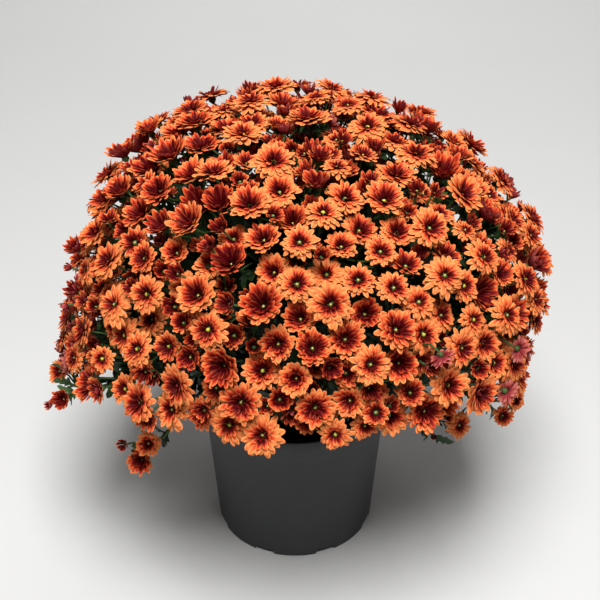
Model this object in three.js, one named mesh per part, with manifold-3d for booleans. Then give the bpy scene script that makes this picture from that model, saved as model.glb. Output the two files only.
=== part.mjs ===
// A garden chrysanthemum in full bloom, grown as a round mound in a dark nursery pot.
// Millimetres, +Z up, the origin in the middle under the pot, -Y the front.
// The plant is a green crown (trunk, branches and leaves) and 48 sprays that stand on the
// crown's branch ends. A spray's stalk forks in three, and each arm again in three blooms.
import * as THREE from 'three';
import { mergeVertices } from 'three/addons/utils/BufferGeometryUtils.js';
import Module from 'manifold-3d';

const wasm = await Module();
wasm.setup();

// Pot
const potHeight = 178;
const rimRadius = 105;
const baseRadius = 92.5;
const wallThickness = 2;
const rimBandHeight = 19;
const rimBandStep = 1.3;
const footHeight = 6;
const floorThickness = 2.5;
const footCount = 8;
const footGapAngle = THREE.MathUtils.degToRad(14);
const footRingWidth = 6;
const drainHoleRadius = 8;
const drainHoleDistance = 72;
const potSides = 36;

// Soil
const soilDepthBelowRim = 20;
const soilClearance = 0.25;
const trunkHoleDepth = 45;

// Mound of blooms: a rounded dome round a middle point
const moundMiddle = new THREE.Vector3(0, 0, 257);
const moundRadius = 256;
const moundRise = 258;
const moundSquareness = 2.5;
const skirtPolar = THREE.MathUtils.degToRad(103);
const frontLift = 0.235;
const frontReach = 1.35;

// The mound bulges to +X above its middle and stands a little to -X above and below that
const swayStart = -5;
const swayBulge = 24;
const swayHeight = 120;
const swaySpread = 86;

// Sprays, and the arms and blooms of each
const sprayCount = 48;
const armsPerSpray = 3;
const bloomsPerArm = 3;
const armSpread = 31;
const bloomSpread = 20;
const bloomSpacing = 37.5;
const turnsTried = 12;
const spreadRounds = 40;
const spreadStrength = 0.3;
const layerDepths = [0, 11, 22];
const layerRadii = [24, 23, 22];
const layerPetals = [7, 6, 5];
const layerRounds = 6;
const neighbourReach = 0.35;
const radiusJitter = 1.8;
const freeDepth = 2.5;
const overlapRate = 2.2;
const mostOverlap = 20;
const facingLift = 0.28;
const facingJitter = 0.09;
const budShare = 0.3;
const budRadius = 6;
const budTipShare = 1.5;
const armForkDepth = 60;
const sprayForkDepth = 88;
const seatDepth = 113;
const seatGap = 0.3;

// One bloom: a dish of pointed petals on a short calyx
const petalNotch = 0.76;
const petalRise = 2.5;
const dishDepth = 3;
const calyxDepth = 10;
const calyxRadius = 2.6;
const stemRadius = 1.9;
const stalkRadius = 2.6;

// Crown: trunk, eight branches, three boughs on each, two branch ends on each bough
const trunkRadius = 11;
const trunkCollar = 5;
const trunkForkHeight = 186;
const branchCount = 8;
const branchReach = 62;
const branchDrop = 40;
const boughReach = 105;
const branchRadius = 5;
const boughRadius = 3.5;
const leafStemDepth = 9;

// Forks: the height of a fork's tip in radii, and the search for its axis
const forkTipShare = 1.1;
const forkTilts = [0.15, 0.3, 0.45];
const tiltsTried = 12;
const tiltPenalty = 0.5;

// Leaves: half outline as shares of the length and of the half width, from neck to tip
const leafLength = 64;
const leafHalfWidth = 17;
const leafThickness = 1.1;
const leafSlant = THREE.MathUtils.degToRad(34);
const leafDroop = 7;
const leafMiddle = 0.6;
const leafOutline = [
  [0.26, 0.1],
  [0.46, 1],
  [0.58, 0.48],
  [0.8, 0.72],
];
const skirtLeafPolar = THREE.MathUtils.degToRad(78);

// Stray sprays that hang out of the mound: where their blooms stand, and how wide these are
const strays = [
  {
    blooms: [[-268, -80, 209, 8], [-247, -90, 226, 14], [-258, -50, 234, 16]],
  },
  {
    blooms: [[-158, -150, 192, 18], [-146, -166, 227, 16], [-176, -150, 213, 9]],
  },
  {
    blooms: [[170, -140, 230, 17], [142, -155, 226, 6], [156, -148, 248, 8]],
  },
  {
    blooms: [[243, -62, 206, 18], [224, -92, 205, 14], [236, -92, 226, 8]],
  },
];
const strayForkBack = 34;
const straySeatBack = 62;
const strayLift = 0.25;
const strayTurn = new THREE.Vector3(0, -0.6, 0.35);
const straySplay = 0.02;

const up = new THREE.Vector3(0, 0, 1);
const goldenAngle = Math.PI * (3 - Math.sqrt(5));

// A repeatable random number from 0 to 1 for a piece's number and a purpose.
function noise(index, purpose) {
  const value = Math.sin(index * 12.9898 + purpose * 78.233) * 43758.5453;
  return value - Math.floor(value);
}

function jitter(index, purpose) {
  return 2 * noise(index, purpose) - 1;
}

function meanOf(points) {
  const sum = new THREE.Vector3();
  points.forEach((point) => sum.add(point));
  return sum.divideScalar(points.length);
}

function directionTo(polar, azimuth) {
  const across = Math.sin(polar);
  return new THREE.Vector3(across * Math.cos(azimuth), across * Math.sin(azimuth), Math.cos(polar));
}

// Directions evenly round a middle one, a distance away from it on the mound.
function aroundDirection(centre, distance, firstAngle, count) {
  const east = up.clone().cross(centre).normalize();
  const north = centre.clone().cross(east);
  return Array.from({ length: count }, (_, k) => {
    const angle = firstAngle + (k * 2 * Math.PI) / count;
    const size = distance / moundRadius;
    return centre.clone()
      .addScaledVector(east, size * Math.cos(angle))
      .addScaledVector(north, size * Math.sin(angle))
      .normalize();
  });
}

// How well the faces of a fork round an axis meet its targets: the order of the targets round
// it, the angle of the first face, and the farthest that a target lies beside its face.
function matchFork(along, ways) {
  const across = new THREE.Vector3(along.y, along.z, along.x).cross(along).normalize();
  const third = along.clone().cross(across);
  const angles = ways.map((way) => Math.atan2(way.dot(third), way.dot(across)));
  const order = ways.map((_, k) => k).sort((a, b) => angles[a] - angles[b]);
  const step = (2 * Math.PI) / ways.length;
  const offsets = order.map((target, k) => angles[target] - k * step);
  const sines = offsets.reduce((sum, offset) => sum + Math.sin(offset), 0);
  const cosines = offsets.reduce((sum, offset) => sum + Math.cos(offset), 0);
  const middle = Math.atan2(sines, cosines);
  const error = Math.max(...offsets.map((offset) => 1 - Math.cos(offset - middle)));
  const start = across.multiplyScalar(Math.cos(middle - step / 2));
  start.addScaledVector(third, Math.sin(middle - step / 2));
  return { along, start, order, error };
}

// The axis of a fork: the mean of the ways to its targets, tilted a little where that helps.
function chooseFork(place, targets) {
  const ways = targets.map((target) => target.clone().sub(place).normalize());
  const mean = meanOf(ways).normalize();
  const side = new THREE.Vector3(mean.y, mean.z, mean.x).cross(mean).normalize();
  let best = matchFork(mean, ways);
  forkTilts.forEach((tilt) => {
    for (let k = 0; k < tiltsTried; k += 1) {
      const way = side.clone().applyAxisAngle(mean, (2 * Math.PI * k) / tiltsTried);
      const tried = matchFork(way.multiplyScalar(tilt).add(mean).normalize(), ways);
      tried.error += tilt * tiltPenalty;
      best = tried.error < best.error ? tried : best;
    }
  });
  return best;
}

// A closed surface grown from rings of points: tubes, forks, blooms and leaves.
class Skin {
  constructor() {
    this.points = [];
    this.faces = [];
  }

  addPoint(position) {
    this.points.push(position.clone());
    return this.points.length - 1;
  }

  addFace(a, b, c) {
    this.faces.push([a, b, c]);
  }

  middle(loop) {
    return meanOf(loop.map((index) => this.points[index]));
  }

  // Points round an axis, counter-clockwise seen from its tip, starting on the side of start.
  addRing(centre, axis, start, radius, sides) {
    const along = axis.clone().normalize();
    const across = start.clone().addScaledVector(along, -start.dot(along)).normalize();
    const third = along.clone().cross(across);
    return Array.from({ length: sides }, (_, k) => {
      const angle = (2 * Math.PI * k) / sides;
      const point = centre.clone().addScaledVector(across, radius * Math.cos(angle));
      return this.addPoint(point.addScaledVector(third, radius * Math.sin(angle)));
    });
  }

  addFan(loop, tip) {
    loop.forEach((index, k) => this.addFace(index, loop[(k + 1) % loop.length], tip));
  }

  // A wall between two rings of equally many points, turned to the least twist and split
  // along the shorter diagonals, so that it bulges and doesn't cross itself.
  addTube(start, end) {
    const count = start.length;
    const shift = this.middle(end).sub(this.middle(start));
    const gap = (a, b) => this.points[a].distanceToSquared(this.points[b]);
    const sumOver = (measure) => start.reduce((sum, _, k) => sum + measure(k, (k + 1) % count), 0);
    const twist = (turn) => sumOver((k) => {
      const wanted = this.points[start[k]].clone().add(shift);
      return wanted.distanceToSquared(this.points[end[(k + turn) % count]]);
    });
    const turns = start.map((_, turn) => turn);
    const best = turns.reduce((least, turn) => (twist(turn) < twist(least) ? turn : least), 0);
    const turned = end.map((_, k) => end[(k + best) % count]);
    const rising = sumOver((k, next) => gap(start[k], turned[next]));
    const falling = sumOver((k, next) => gap(start[next], turned[k]));
    start.forEach((index, k) => {
      const next = (k + 1) % count;
      if (rising <= falling) {
        this.addFace(index, start[next], turned[next]);
        this.addFace(index, turned[next], turned[k]);
      } else {
        this.addFace(index, start[next], turned[k]);
        this.addFace(start[next], turned[next], turned[k]);
      }
    });
    return turned;
  }

  // A wall between two rings of different counts that start on the same side.
  addFlare(lower, upper) {
    let i = 0;
    let j = 0;
    while (i < lower.length || j < upper.length) {
      const lowerFirst = (i + 0.5) / lower.length <= (j + 0.5) / upper.length;
      if (j >= upper.length || (i < lower.length && lowerFirst)) {
        this.addFace(lower[i], lower[(i + 1) % lower.length], upper[j % upper.length]);
        i += 1;
      } else {
        this.addFace(lower[i % lower.length], upper[(j + 1) % upper.length], upper[j]);
        j += 1;
      }
    }
  }

  // A tube from root to place that ends in a pyramid, one face of it towards each target.
  // Returns those open faces as loops, in the order of the targets.
  addFork(root, place, radius, targets) {
    const { along, start, order } = chooseFork(place, targets);
    const ring = this.addRing(place, along, start, radius, targets.length);
    if (root.length === ring.length) {
      this.addTube(root, ring);
    } else {
      this.addFlare(root, ring);
    }
    const tip = this.addPoint(place.clone().addScaledVector(along, radius * forkTipShare));
    const loops = [];
    order.forEach((target, k) => {
      loops[target] = [ring[k], ring[(k + 1) % ring.length], tip];
    });
    return loops;
  }

  geometry() {
    const geometry = new THREE.BufferGeometry();
    const values = this.points.flatMap((point) => point.toArray());
    geometry.setAttribute('position', new THREE.Float32BufferAttribute(values, 3));
    geometry.setIndex(this.faces.flat());
    return geometry;
  }
}

// The mound's shape

function reach(direction) {
  const across = Math.hypot(direction.x, direction.y) / moundRadius;
  const along = Math.abs(direction.z) / moundRise;
  return (across ** moundSquareness + along ** moundSquareness) ** (-1 / moundSquareness);
}

function swayAt(height) {
  return swayStart + swayBulge * Math.exp(-(((height - swayHeight) / swaySpread) ** 2));
}

function placeAt(direction, depth) {
  const point = direction.clone().multiplyScalar(reach(direction) - depth).add(moundMiddle);
  point.x += swayAt(point.z - moundMiddle.z);
  return point;
}

function outwardAt(direction) {
  const power = moundSquareness - 1;
  const across = Math.hypot(direction.x, direction.y);
  const pull = across ** power / moundRadius ** moundSquareness / Math.max(across, 1e-6);
  const rise = Math.abs(direction.z) ** power / moundRise ** moundSquareness;
  const outward = new THREE.Vector3(direction.x * pull, direction.y * pull, rise);
  outward.z *= Math.sign(direction.z);
  return outward.normalize();
}

// How far down the blooms reach: less far in front, where the pot's rim shows.
function lowestPolar(azimuth) {
  const front = Math.min(1, frontReach * Math.max(0, -Math.sin(azimuth)));
  return skirtPolar * (1 - frontLift * front);
}

// Arm directions of the sprays, each spray turned so that its arms stay clear of the others.
function startingArms() {
  const arms = [];
  for (let spray = 0; spray < sprayCount; spray += 1) {
    const azimuth = spray * goldenAngle;
    const share = (spray + 0.5) / sprayCount;
    const polar = Math.acos(1 - share * (1 - Math.cos(lowestPolar(azimuth))));
    const centre = directionTo(polar, azimuth);
    let own = [];
    let widest = -1;
    for (let turn = 0; turn < turnsTried; turn += 1) {
      const angle = (turn * 2 * Math.PI) / (armsPerSpray * turnsTried);
      const tried = aroundDirection(centre, armSpread, angle, armsPerSpray);
      const gaps = tried.flatMap((arm) => arms.map((other) => arm.distanceTo(other)));
      const nearest = Math.min(2, ...gaps);
      if (nearest > widest) {
        widest = nearest;
        own = tried;
      }
    }
    arms.push(...own);
  }
  return arms;
}

// Bloom directions seen from the mound's middle, three to an arm and nine to a spray.
function startingDirections() {
  return startingArms().flatMap((arm, k) => (
    aroundDirection(arm, bloomSpread, noise(k, 1) * 2 * Math.PI, bloomsPerArm)
  ));
}

function directionOf(point) {
  const offset = point.clone().sub(moundMiddle);
  offset.x -= swayAt(offset.z);
  const azimuth = Math.atan2(offset.y, offset.x);
  const polar = Math.atan2(Math.hypot(offset.x, offset.y), offset.z);
  return directionTo(Math.min(polar, lowestPolar(azimuth)), azimuth);
}

// Blooms push each other apart on the mound until they cover it evenly.
function spreadOut(directions, held) {
  let spread = directions;
  for (let round = 0; round < spreadRounds; round += 1) {
    const points = spread.map((direction) => placeAt(direction, 0));
    const all = points.concat(held);
    spread = points.map((point) => {
      const moved = point.clone();
      all.forEach((other) => {
        const distance = point.distanceTo(other);
        if (distance > 0 && distance < bloomSpacing) {
          const push = spreadStrength * (bloomSpacing / distance - 1);
          moved.addScaledVector(point.clone().sub(other), push);
        }
      });
      return directionOf(moved);
    });
  }
  return spread;
}

// The room of two blooms side by side: they may overlap once one lies deep enough below.
function roomBetween(one, other) {
  const way = other.centre.clone().sub(one.centre);
  const below = Math.abs(way.dot(one.facing) + way.dot(other.facing)) / 2;
  const beside = Math.sqrt(Math.max(0, way.lengthSq() - below * below));
  return beside - 1 + Math.min(Math.max(0, below - freeDepth) * overlapRate, mostOverlap);
}

function facingAt(direction, i) {
  const tilt = new THREE.Vector3(jitter(i, 2), jitter(i, 3), jitter(i, 4));
  const facing = outwardAt(direction).addScaledVector(up, facingLift).normalize();
  return facing.addScaledVector(tilt, facingJitter).normalize();
}

function inLayer(direction, facing, layer, i) {
  return {
    direction,
    facing,
    layer,
    centre: placeAt(direction, layerDepths[layer]),
    radius: layerRadii[layer] + radiusJitter * jitter(i, 5),
    petals: layerPetals[layer],
  };
}

// Each bloom moves, a few times over, to the layer where it overlaps its neighbours least.
function chooseLayers(directions, strayBlooms) {
  const blooms = directions.map((direction, i) => (
    inLayer(direction, facingAt(direction, i), i % layerDepths.length, i)
  ));
  const crowding = (bloom, i) => blooms.concat(strayBlooms).reduce((sum, other, j) => {
    const near = j !== i && bloom.direction.distanceTo(other.direction) < neighbourReach;
    const squeeze = near ? bloom.radius + other.radius - roomBetween(bloom, other) : 0;
    return sum + Math.max(0, squeeze) ** 2;
  }, 0);
  for (let round = 0; round < layerRounds; round += 1) {
    directions.forEach((direction, i) => {
      const tried = layerDepths.map((_, layer) => inLayer(direction, blooms[i].facing, layer, i));
      const costs = tried.map((bloom) => crowding(bloom, i));
      blooms[i] = tried[costs.indexOf(Math.min(...costs))];
    });
  }
  return blooms;
}

function planBlooms(strayPlans) {
  const strayBlooms = strayPlans.flatMap((stray) => stray.blooms);
  const held = strayBlooms.map((bloom) => bloom.centre).concat(strayPlans.map((stray) => stray.fork));
  const wanted = chooseLayers(spreadOut(startingDirections(), held), strayBlooms);
  wanted.forEach((bloom, i) => {
    if (bloom.layer === 2 && noise(i, 6) < budShare) {
      bloom.radius = budRadius;
    }
  });
  return wanted.map((bloom, i) => {
    const shares = wanted.concat(strayBlooms).map((other, j) => (
      j === i ? 1 : roomBetween(bloom, other) / (bloom.radius + other.radius)
    ));
    return { ...bloom, radius: bloom.radius * Math.min(1, ...shares) };
  });
}

// Flower parts

function addBud(skin, root, bloom) {
  const side = skin.points[root[0]].clone().sub(skin.middle(root));
  const neck = bloom.centre.clone().addScaledVector(bloom.facing, -calyxDepth);
  const calyx = skin.addTube(root, skin.addRing(neck, bloom.facing, side, calyxRadius, 3));
  const toward = skin.points[calyx[0]].clone().sub(neck);
  const belt = neck.clone().addScaledVector(bloom.facing, bloom.radius);
  const girth = skin.addTube(calyx, skin.addRing(belt, bloom.facing, toward, bloom.radius, 3));
  const tip = skin.addPoint(belt.clone().addScaledVector(bloom.facing, budTipShare * bloom.radius));
  skin.addFan(girth, tip);
}

function addBloom(skin, root, bloom) {
  if (bloom.radius <= budRadius) {
    addBud(skin, root, bloom);
    return;
  }
  const side = skin.points[root[0]].clone().sub(skin.middle(root));
  const neck = bloom.centre.clone().addScaledVector(bloom.facing, -calyxDepth);
  const calyx = skin.addTube(root, skin.addRing(neck, bloom.facing, side, calyxRadius, 3));
  const toward = skin.points[calyx[0]].clone().sub(neck);
  const petalTips = bloom.centre.clone().addScaledVector(bloom.facing, petalRise);
  const tips = skin.addRing(petalTips, bloom.facing, toward, bloom.radius, bloom.petals);
  const acrossTip = toward.clone().applyAxisAngle(bloom.facing, Math.PI / bloom.petals);
  const inner = bloom.radius * petalNotch;
  const notches = skin.addRing(bloom.centre, bloom.facing, acrossTip, inner, bloom.petals);
  const outline = tips.flatMap((tip, k) => [tip, notches[k]]);
  skin.addFlare(calyx, outline);
  const eye = skin.addPoint(bloom.centre.clone().addScaledVector(bloom.facing, -dishDepth));
  skin.addFan(outline, eye);
}

// The lobed blade of a leaf, grown from a three-cornered face of a stem.
function addLeaf(skin, root, along, upper) {
  const heights = root.map((index) => skin.points[index].dot(upper));
  const top = heights.indexOf(Math.max(...heights));
  const [peak, left, right] = [0, 1, 2].map((k) => root[(top + k) % 3]);
  const across = along.clone().cross(upper).normalize();
  const base = skin.middle(root);
  const at = (share, sideways, lift) => base.clone()
    .addScaledVector(along, share * leafLength)
    .addScaledVector(across, sideways)
    .addScaledVector(upper, lift - leafDroop * share * share);
  const leftEdge = leafOutline.map(([s, w]) => skin.addPoint(at(s, w * leafHalfWidth, 0)));
  const rightEdge = leafOutline.map(([s, w]) => skin.addPoint(at(s, -w * leafHalfWidth, 0)));
  const tip = skin.addPoint(at(1, 0, 0));
  const edge = [left, ...leftEdge, tip, ...rightEdge.reverse(), right];
  const rib = skin.addPoint(at(leafMiddle, 0, leafThickness));
  const keel = skin.addPoint(at(leafMiddle, 0, -leafThickness));
  skin.addFace(peak, left, rib);
  skin.addFace(right, peak, rib);
  skin.addFace(left, right, keel);
  for (let k = 0; k + 1 < edge.length; k += 1) {
    skin.addFace(edge[k], edge[k + 1], rib);
    skin.addFace(edge[k + 1], edge[k], keel);
  }
}

// Sprays

function seatRing(skin, seat, back) {
  const centre = seat.place.clone().addScaledVector(seat.axis, -back);
  return skin.addRing(centre, seat.axis, seat.start, stalkRadius, 3);
}

function planSpray(blooms) {
  const arms = Array.from({ length: armsPerSpray }, (_, arm) => {
    const own = blooms.slice(arm * bloomsPerArm, (arm + 1) * bloomsPerArm);
    const direction = meanOf(own.map((bloom) => bloom.direction)).normalize();
    return { blooms: own, direction, fork: placeAt(direction, armForkDepth) };
  });
  const direction = meanOf(arms.map((arm) => arm.direction)).normalize();
  const fork = placeAt(direction, sprayForkDepth);
  const place = placeAt(direction, seatDepth);
  const axis = fork.clone().sub(place).normalize();
  return {
    arms,
    direction,
    fork,
    seat: { place, axis, start: arms[0].fork.clone().sub(fork) },
  };
}

function makeSpray(spray) {
  const skin = new Skin();
  const base = seatRing(skin, spray.seat, 0);
  skin.addFace(base[2], base[1], base[0]);
  const forks = spray.arms.map((arm) => arm.fork);
  const roots = skin.addFork(base, spray.fork, stalkRadius, forks);
  spray.arms.forEach((arm, k) => {
    const centres = arm.blooms.map((bloom) => bloom.centre);
    const stems = skin.addFork(roots[k], arm.fork, stemRadius, centres);
    arm.blooms.forEach((bloom, j) => addBloom(skin, stems[j], bloom));
  });
  return skin.geometry();
}

function planStray(stray) {
  const middle = meanOf(stray.blooms.map(([x, y, z]) => new THREE.Vector3(x, y, z)));
  const axis = middle.clone().sub(moundMiddle).normalize().addScaledVector(up, strayLift).normalize();
  const blooms = stray.blooms.map(([x, y, z, radius]) => {
    const centre = new THREE.Vector3(x, y, z);
    const facing = centre.clone().sub(middle).multiplyScalar(straySplay).add(axis).add(strayTurn);
    facing.normalize();
    return { centre, facing, radius, direction: directionOf(centre), petals: layerPetals[1] };
  });
  const fork = middle.clone().addScaledVector(axis, -strayForkBack);
  const place = middle.clone().addScaledVector(axis, -straySeatBack);
  return { blooms, fork, seat: { place, axis, start: up } };
}

function makeStray(stray) {
  const skin = new Skin();
  const base = seatRing(skin, stray.seat, 0);
  skin.addFace(base[2], base[1], base[0]);
  const centres = stray.blooms.map((bloom) => bloom.centre);
  const stems = skin.addFork(base, stray.fork, stalkRadius, centres);
  stray.blooms.forEach((bloom, k) => addBloom(skin, stems[k], bloom));
  return skin.geometry();
}

// Crown

// The way that a leaf takes from one of the three sides of a branch end.
function leafWay(seat, side) {
  const angle = (Math.PI * (2 * side + 1)) / armsPerSpray;
  const sideways = seat.start.clone().addScaledVector(seat.axis, -seat.start.dot(seat.axis));
  sideways.normalize().applyAxisAngle(seat.axis, angle);
  const way = seat.axis.clone().multiplyScalar(Math.cos(leafSlant));
  return way.addScaledVector(sideways, Math.sin(leafSlant)).normalize();
}

// The side of each branch end that carries its leaf, the one farthest from the other leaves,
// and on the skirt also the side that hangs lowest.
function chooseLeafSides(sprays) {
  const taken = [];
  const sides = sprays.map(({ seat }) => {
    const middles = [0, 1, 2].map((side) => (
      leafWay(seat, side).multiplyScalar(leafMiddle * leafLength).add(seat.place)
    ));
    const room = middles.map((middle) => Math.min(...taken.map((other) => middle.distanceTo(other)), 1e3));
    const best = room.indexOf(Math.max(...room));
    taken.push(middles[best]);
    return [best];
  });
  sprays.forEach(({ seat, direction }, i) => {
    const falls = [0, 1, 2].map((side) => leafWay(seat, side).z);
    const lowest = falls.indexOf(Math.min(...falls));
    const middle = leafWay(seat, lowest).multiplyScalar(leafMiddle * leafLength).add(seat.place);
    const room = Math.min(...taken.map((other) => middle.distanceTo(other)));
    if (direction.z < Math.cos(skirtLeafPolar) && room > 2 * leafHalfWidth) {
      sides[i].push(lowest);
      taken.push(middle);
    }
  });
  return sides;
}

// A branch end: two rings, the last one the flat seat of a spray. Leaves grow from its sides.
function addBranchEnd(skin, root, seat, leafSides) {
  const collar = skin.addTube(root, seatRing(skin, seat, leafStemDepth));
  const end = seatRing(skin, seat, seatGap);
  const start = skin.points[end[0]];
  const distances = collar.map((index) => skin.points[index].distanceTo(start));
  const turn = distances.indexOf(Math.min(...distances));
  collar.forEach((_, k) => {
    const [a, b] = [collar[(turn + k) % 3], collar[(turn + k + 1) % 3]];
    const [c, d] = [end[(k + 1) % 3], end[k]];
    skin.addFace(a, c, d);
    if (leafSides.includes(k)) {
      const along = leafWay(seat, k);
      const upper = seat.axis.clone().addScaledVector(along, -along.dot(seat.axis)).normalize();
      addLeaf(skin, [a, b, c], along, upper);
    } else {
      skin.addFace(a, b, c);
    }
  });
  skin.addFace(...end);
}

function makeCrown(sprays, strayPlans) {
  const skin = new Skin();
  const azimuth = (direction) => Math.atan2(direction.y, direction.x);
  const order = sprays.map((_, i) => i);
  order.sort((a, b) => azimuth(sprays[a].direction) - azimuth(sprays[b].direction));
  const perBranch = sprayCount / branchCount;
  const branches = Array.from({ length: branchCount }, (_, k) => {
    const own = order.slice(k * perBranch, (k + 1) * perBranch);
    own.sort((a, b) => sprays[b].direction.z - sprays[a].direction.z);
    const direction = meanOf(own.map((i) => sprays[i].direction)).normalize();
    const fork = direction.clone().multiplyScalar(branchReach).add(moundMiddle);
    fork.z -= branchDrop;
    const boughs = [0, 2, 4].map((first) => {
      const pair = own.slice(first, first + 2);
      const way = meanOf(pair.map((i) => sprays[i].direction)).normalize();
      return { pair, direction: way, fork: way.clone().multiplyScalar(boughReach).add(moundMiddle) };
    });
    return { direction, fork, boughs };
  });

  const free = branches.map((branch) => branch.boughs[2]);
  strayPlans.forEach((stray) => {
    const distance = (bough) => bough.fork.distanceTo(stray.seat.place);
    const nearest = free.reduce((best, bough) => (distance(bough) < distance(best) ? bough : best));
    nearest.stray = stray;
    free.splice(free.indexOf(nearest), 1);
  });

  const footHeightInSoil = potHeight - soilDepthBelowRim - trunkHoleDepth + seatGap;
  const foot = new THREE.Vector3(0, 0, footHeightInSoil);
  const east = new THREE.Vector3(1, 0, 0);
  const base = skin.addRing(foot, up, east, trunkRadius, branchCount);
  skin.addFan([...base].reverse(), skin.addPoint(foot));
  const collar = new THREE.Vector3(0, 0, potHeight - soilDepthBelowRim + trunkCollar);
  const waist = skin.addTube(base, skin.addRing(collar, up, east, trunkRadius, branchCount));
  const forks = branches.map((branch) => branch.fork);
  const leafSides = chooseLeafSides(sprays);
  const top = new THREE.Vector3(0, 0, trunkForkHeight);
  const roots = skin.addFork(waist, top, trunkRadius, forks);
  branches.forEach((branch, k) => {
    const boughForks = branch.boughs.map((bough) => bough.fork);
    const boughRoots = skin.addFork(roots[k], branch.fork, branchRadius, boughForks);
    branch.boughs.forEach((bough, j) => {
      const seats = bough.pair.map((i) => sprays[i].seat);
      const [one, other] = seats.map((seat) => seat.place.clone().sub(bough.fork));
      const between = one.clone().cross(other).setLength(seatDepth / 4).add(bough.fork);
      const third = bough.stray ? bough.stray.seat.place : between;
      const places = [...seats.map((seat) => seat.place), third];
      const ends = skin.addFork(boughRoots[j], bough.fork, boughRadius, places);
      bough.pair.forEach((i, n) => addBranchEnd(skin, ends[n], seats[n], leafSides[i]));
      if (bough.stray) {
        addBranchEnd(skin, ends[2], bough.stray.seat, [1]);
      } else {
        skin.addFace(...ends[2]);
      }
    });
  });
  return skin.geometry();
}

// Pot and soil

// A closed solid without the zero-wide triangles that a lathe leaves on its axis.
function solidOf(geometry) {
  geometry.deleteAttribute('normal');
  geometry.deleteAttribute('uv');
  const merged = mergeVertices(geometry, 1e-3);
  const index = Array.from(merged.index.array);
  const kept = [];
  for (let k = 0; k < index.length; k += 3) {
    const [a, b, c] = index.slice(k, k + 3);
    if (a !== b && b !== c && c !== a) {
      kept.push(a, b, c);
    }
  }
  const vertProperties = new Float32Array(merged.attributes.position.array);
  const mesh = new wasm.Mesh({ numProp: 3, vertProperties, triVerts: new Uint32Array(kept) });
  return new wasm.Manifold(mesh);
}

function geometryOf(solid) {
  const mesh = solid.getMesh();
  const geometry = new THREE.BufferGeometry();
  geometry.setAttribute('position', new THREE.BufferAttribute(mesh.vertProperties, 3));
  geometry.setIndex(Array.from(mesh.triVerts));
  return geometry;
}

function turned(profile, sides) {
  const points = profile.map(([radius, height]) => new THREE.Vector2(radius, height));
  return solidOf(new THREE.LatheGeometry(points, sides).rotateX(Math.PI / 2));
}

const underBand = potHeight - rimBandHeight;
const wallSlope = (rimRadius - rimBandStep - baseRadius) / underBand;
const floorTop = footHeight + floorThickness;
const outerRadiusAt = (height) => baseRadius + wallSlope * height;
const innerRadiusAt = (height) => outerRadiusAt(height) - wallThickness;

function makePot() {
  let pot = turned([
    [0, footHeight],
    [baseRadius - footRingWidth, footHeight],
    [baseRadius - footRingWidth, 0],
    [baseRadius, 0],
    [outerRadiusAt(underBand), underBand],
    [rimRadius, underBand + rimBandStep],
    [rimRadius, potHeight],
    [innerRadiusAt(potHeight), potHeight],
    [innerRadiusAt(floorTop), floorTop],
    [0, floorTop],
  ], potSides);
  const gapWidth = 2 * baseRadius * Math.tan(footGapAngle / 2);
  const gapHeight = footHeight + 0.5;
  for (let k = 0; k < footCount; k += 1) {
    const angle = -Math.PI / 2 + ((k + 0.5) * 2 * Math.PI) / footCount;
    const gap = new THREE.BoxGeometry(3 * footRingWidth, gapWidth, 2 * gapHeight);
    gap.translate(baseRadius, 0, 0).rotateZ(angle);
    const hole = new THREE.CylinderGeometry(drainHoleRadius, drainHoleRadius, 6 * floorThickness, 8);
    hole.rotateX(Math.PI / 2).translate(drainHoleDistance, 0, footHeight).rotateZ(angle);
    pot = pot.subtract(solidOf(gap)).subtract(solidOf(hole));
  }
  return geometryOf(pot);
}

function makeSoil() {
  const top = potHeight - soilDepthBelowRim;
  const holeRadius = trunkRadius + soilClearance;
  const soil = turned([
    [0, floorTop + soilClearance],
    [innerRadiusAt(floorTop) - soilClearance, floorTop + soilClearance],
    [innerRadiusAt(top) - soilClearance, top],
    [0, top],
  ], potSides);
  const hole = new THREE.CylinderGeometry(holeRadius, holeRadius, 2 * trunkHoleDepth, branchCount);
  hole.rotateX(Math.PI / 2).translate(0, 0, top);
  return geometryOf(soil.subtract(solidOf(hole)));
}

// The whole plant

const plant = new THREE.Group();

function addPiece(name, geometry, colour, roughness) {
  const material = new THREE.MeshStandardMaterial({ color: colour, roughness, metalness: 0 });
  material.flatShading = true;
  const mesh = new THREE.Mesh(geometry, material);
  mesh.name = name;
  plant.add(mesh);
}

const strayPlans = strays.map(planStray);
const bloomPlans = planBlooms(strayPlans);
const perSpray = armsPerSpray * bloomsPerArm;
const sprayPlans = Array.from({ length: sprayCount }, (_, k) => (
  planSpray(bloomPlans.slice(k * perSpray, (k + 1) * perSpray))
));

addPiece('pot', makePot(), 0x3a3c3e, 0.6);
addPiece('soil', makeSoil(), 0x2b211a, 1);
addPiece('crown', makeCrown(sprayPlans, strayPlans), 0x2f4a22, 0.8);
sprayPlans.forEach((spray, k) => {
  addPiece(`spray_${String(k + 1).padStart(2, '0')}`, makeSpray(spray), 0xd9683f, 0.7);
});
strayPlans.forEach((stray, k) => {
  addPiece(`stray_spray_${k + 1}`, makeStray(stray), 0xb04a38, 0.7);
});

export default plant;
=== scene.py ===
# %% [markdown]
# A garden chrysanthemum in full bloom, in a dark nursery pot.
#
# The plant is a round mound of nearly eight hundred small double flowers and buds. The
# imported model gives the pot, the soil, the green crown and 52 sprays of simple star-shaped
# blooms. This script keeps their places and grows the real forms on them: petals in rows,
# stems that bend, lobed leaves, a moulded pot and crumbly soil. Lengths are in millimetres
# while they are worked out, and become metres when a mesh is made.

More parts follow.
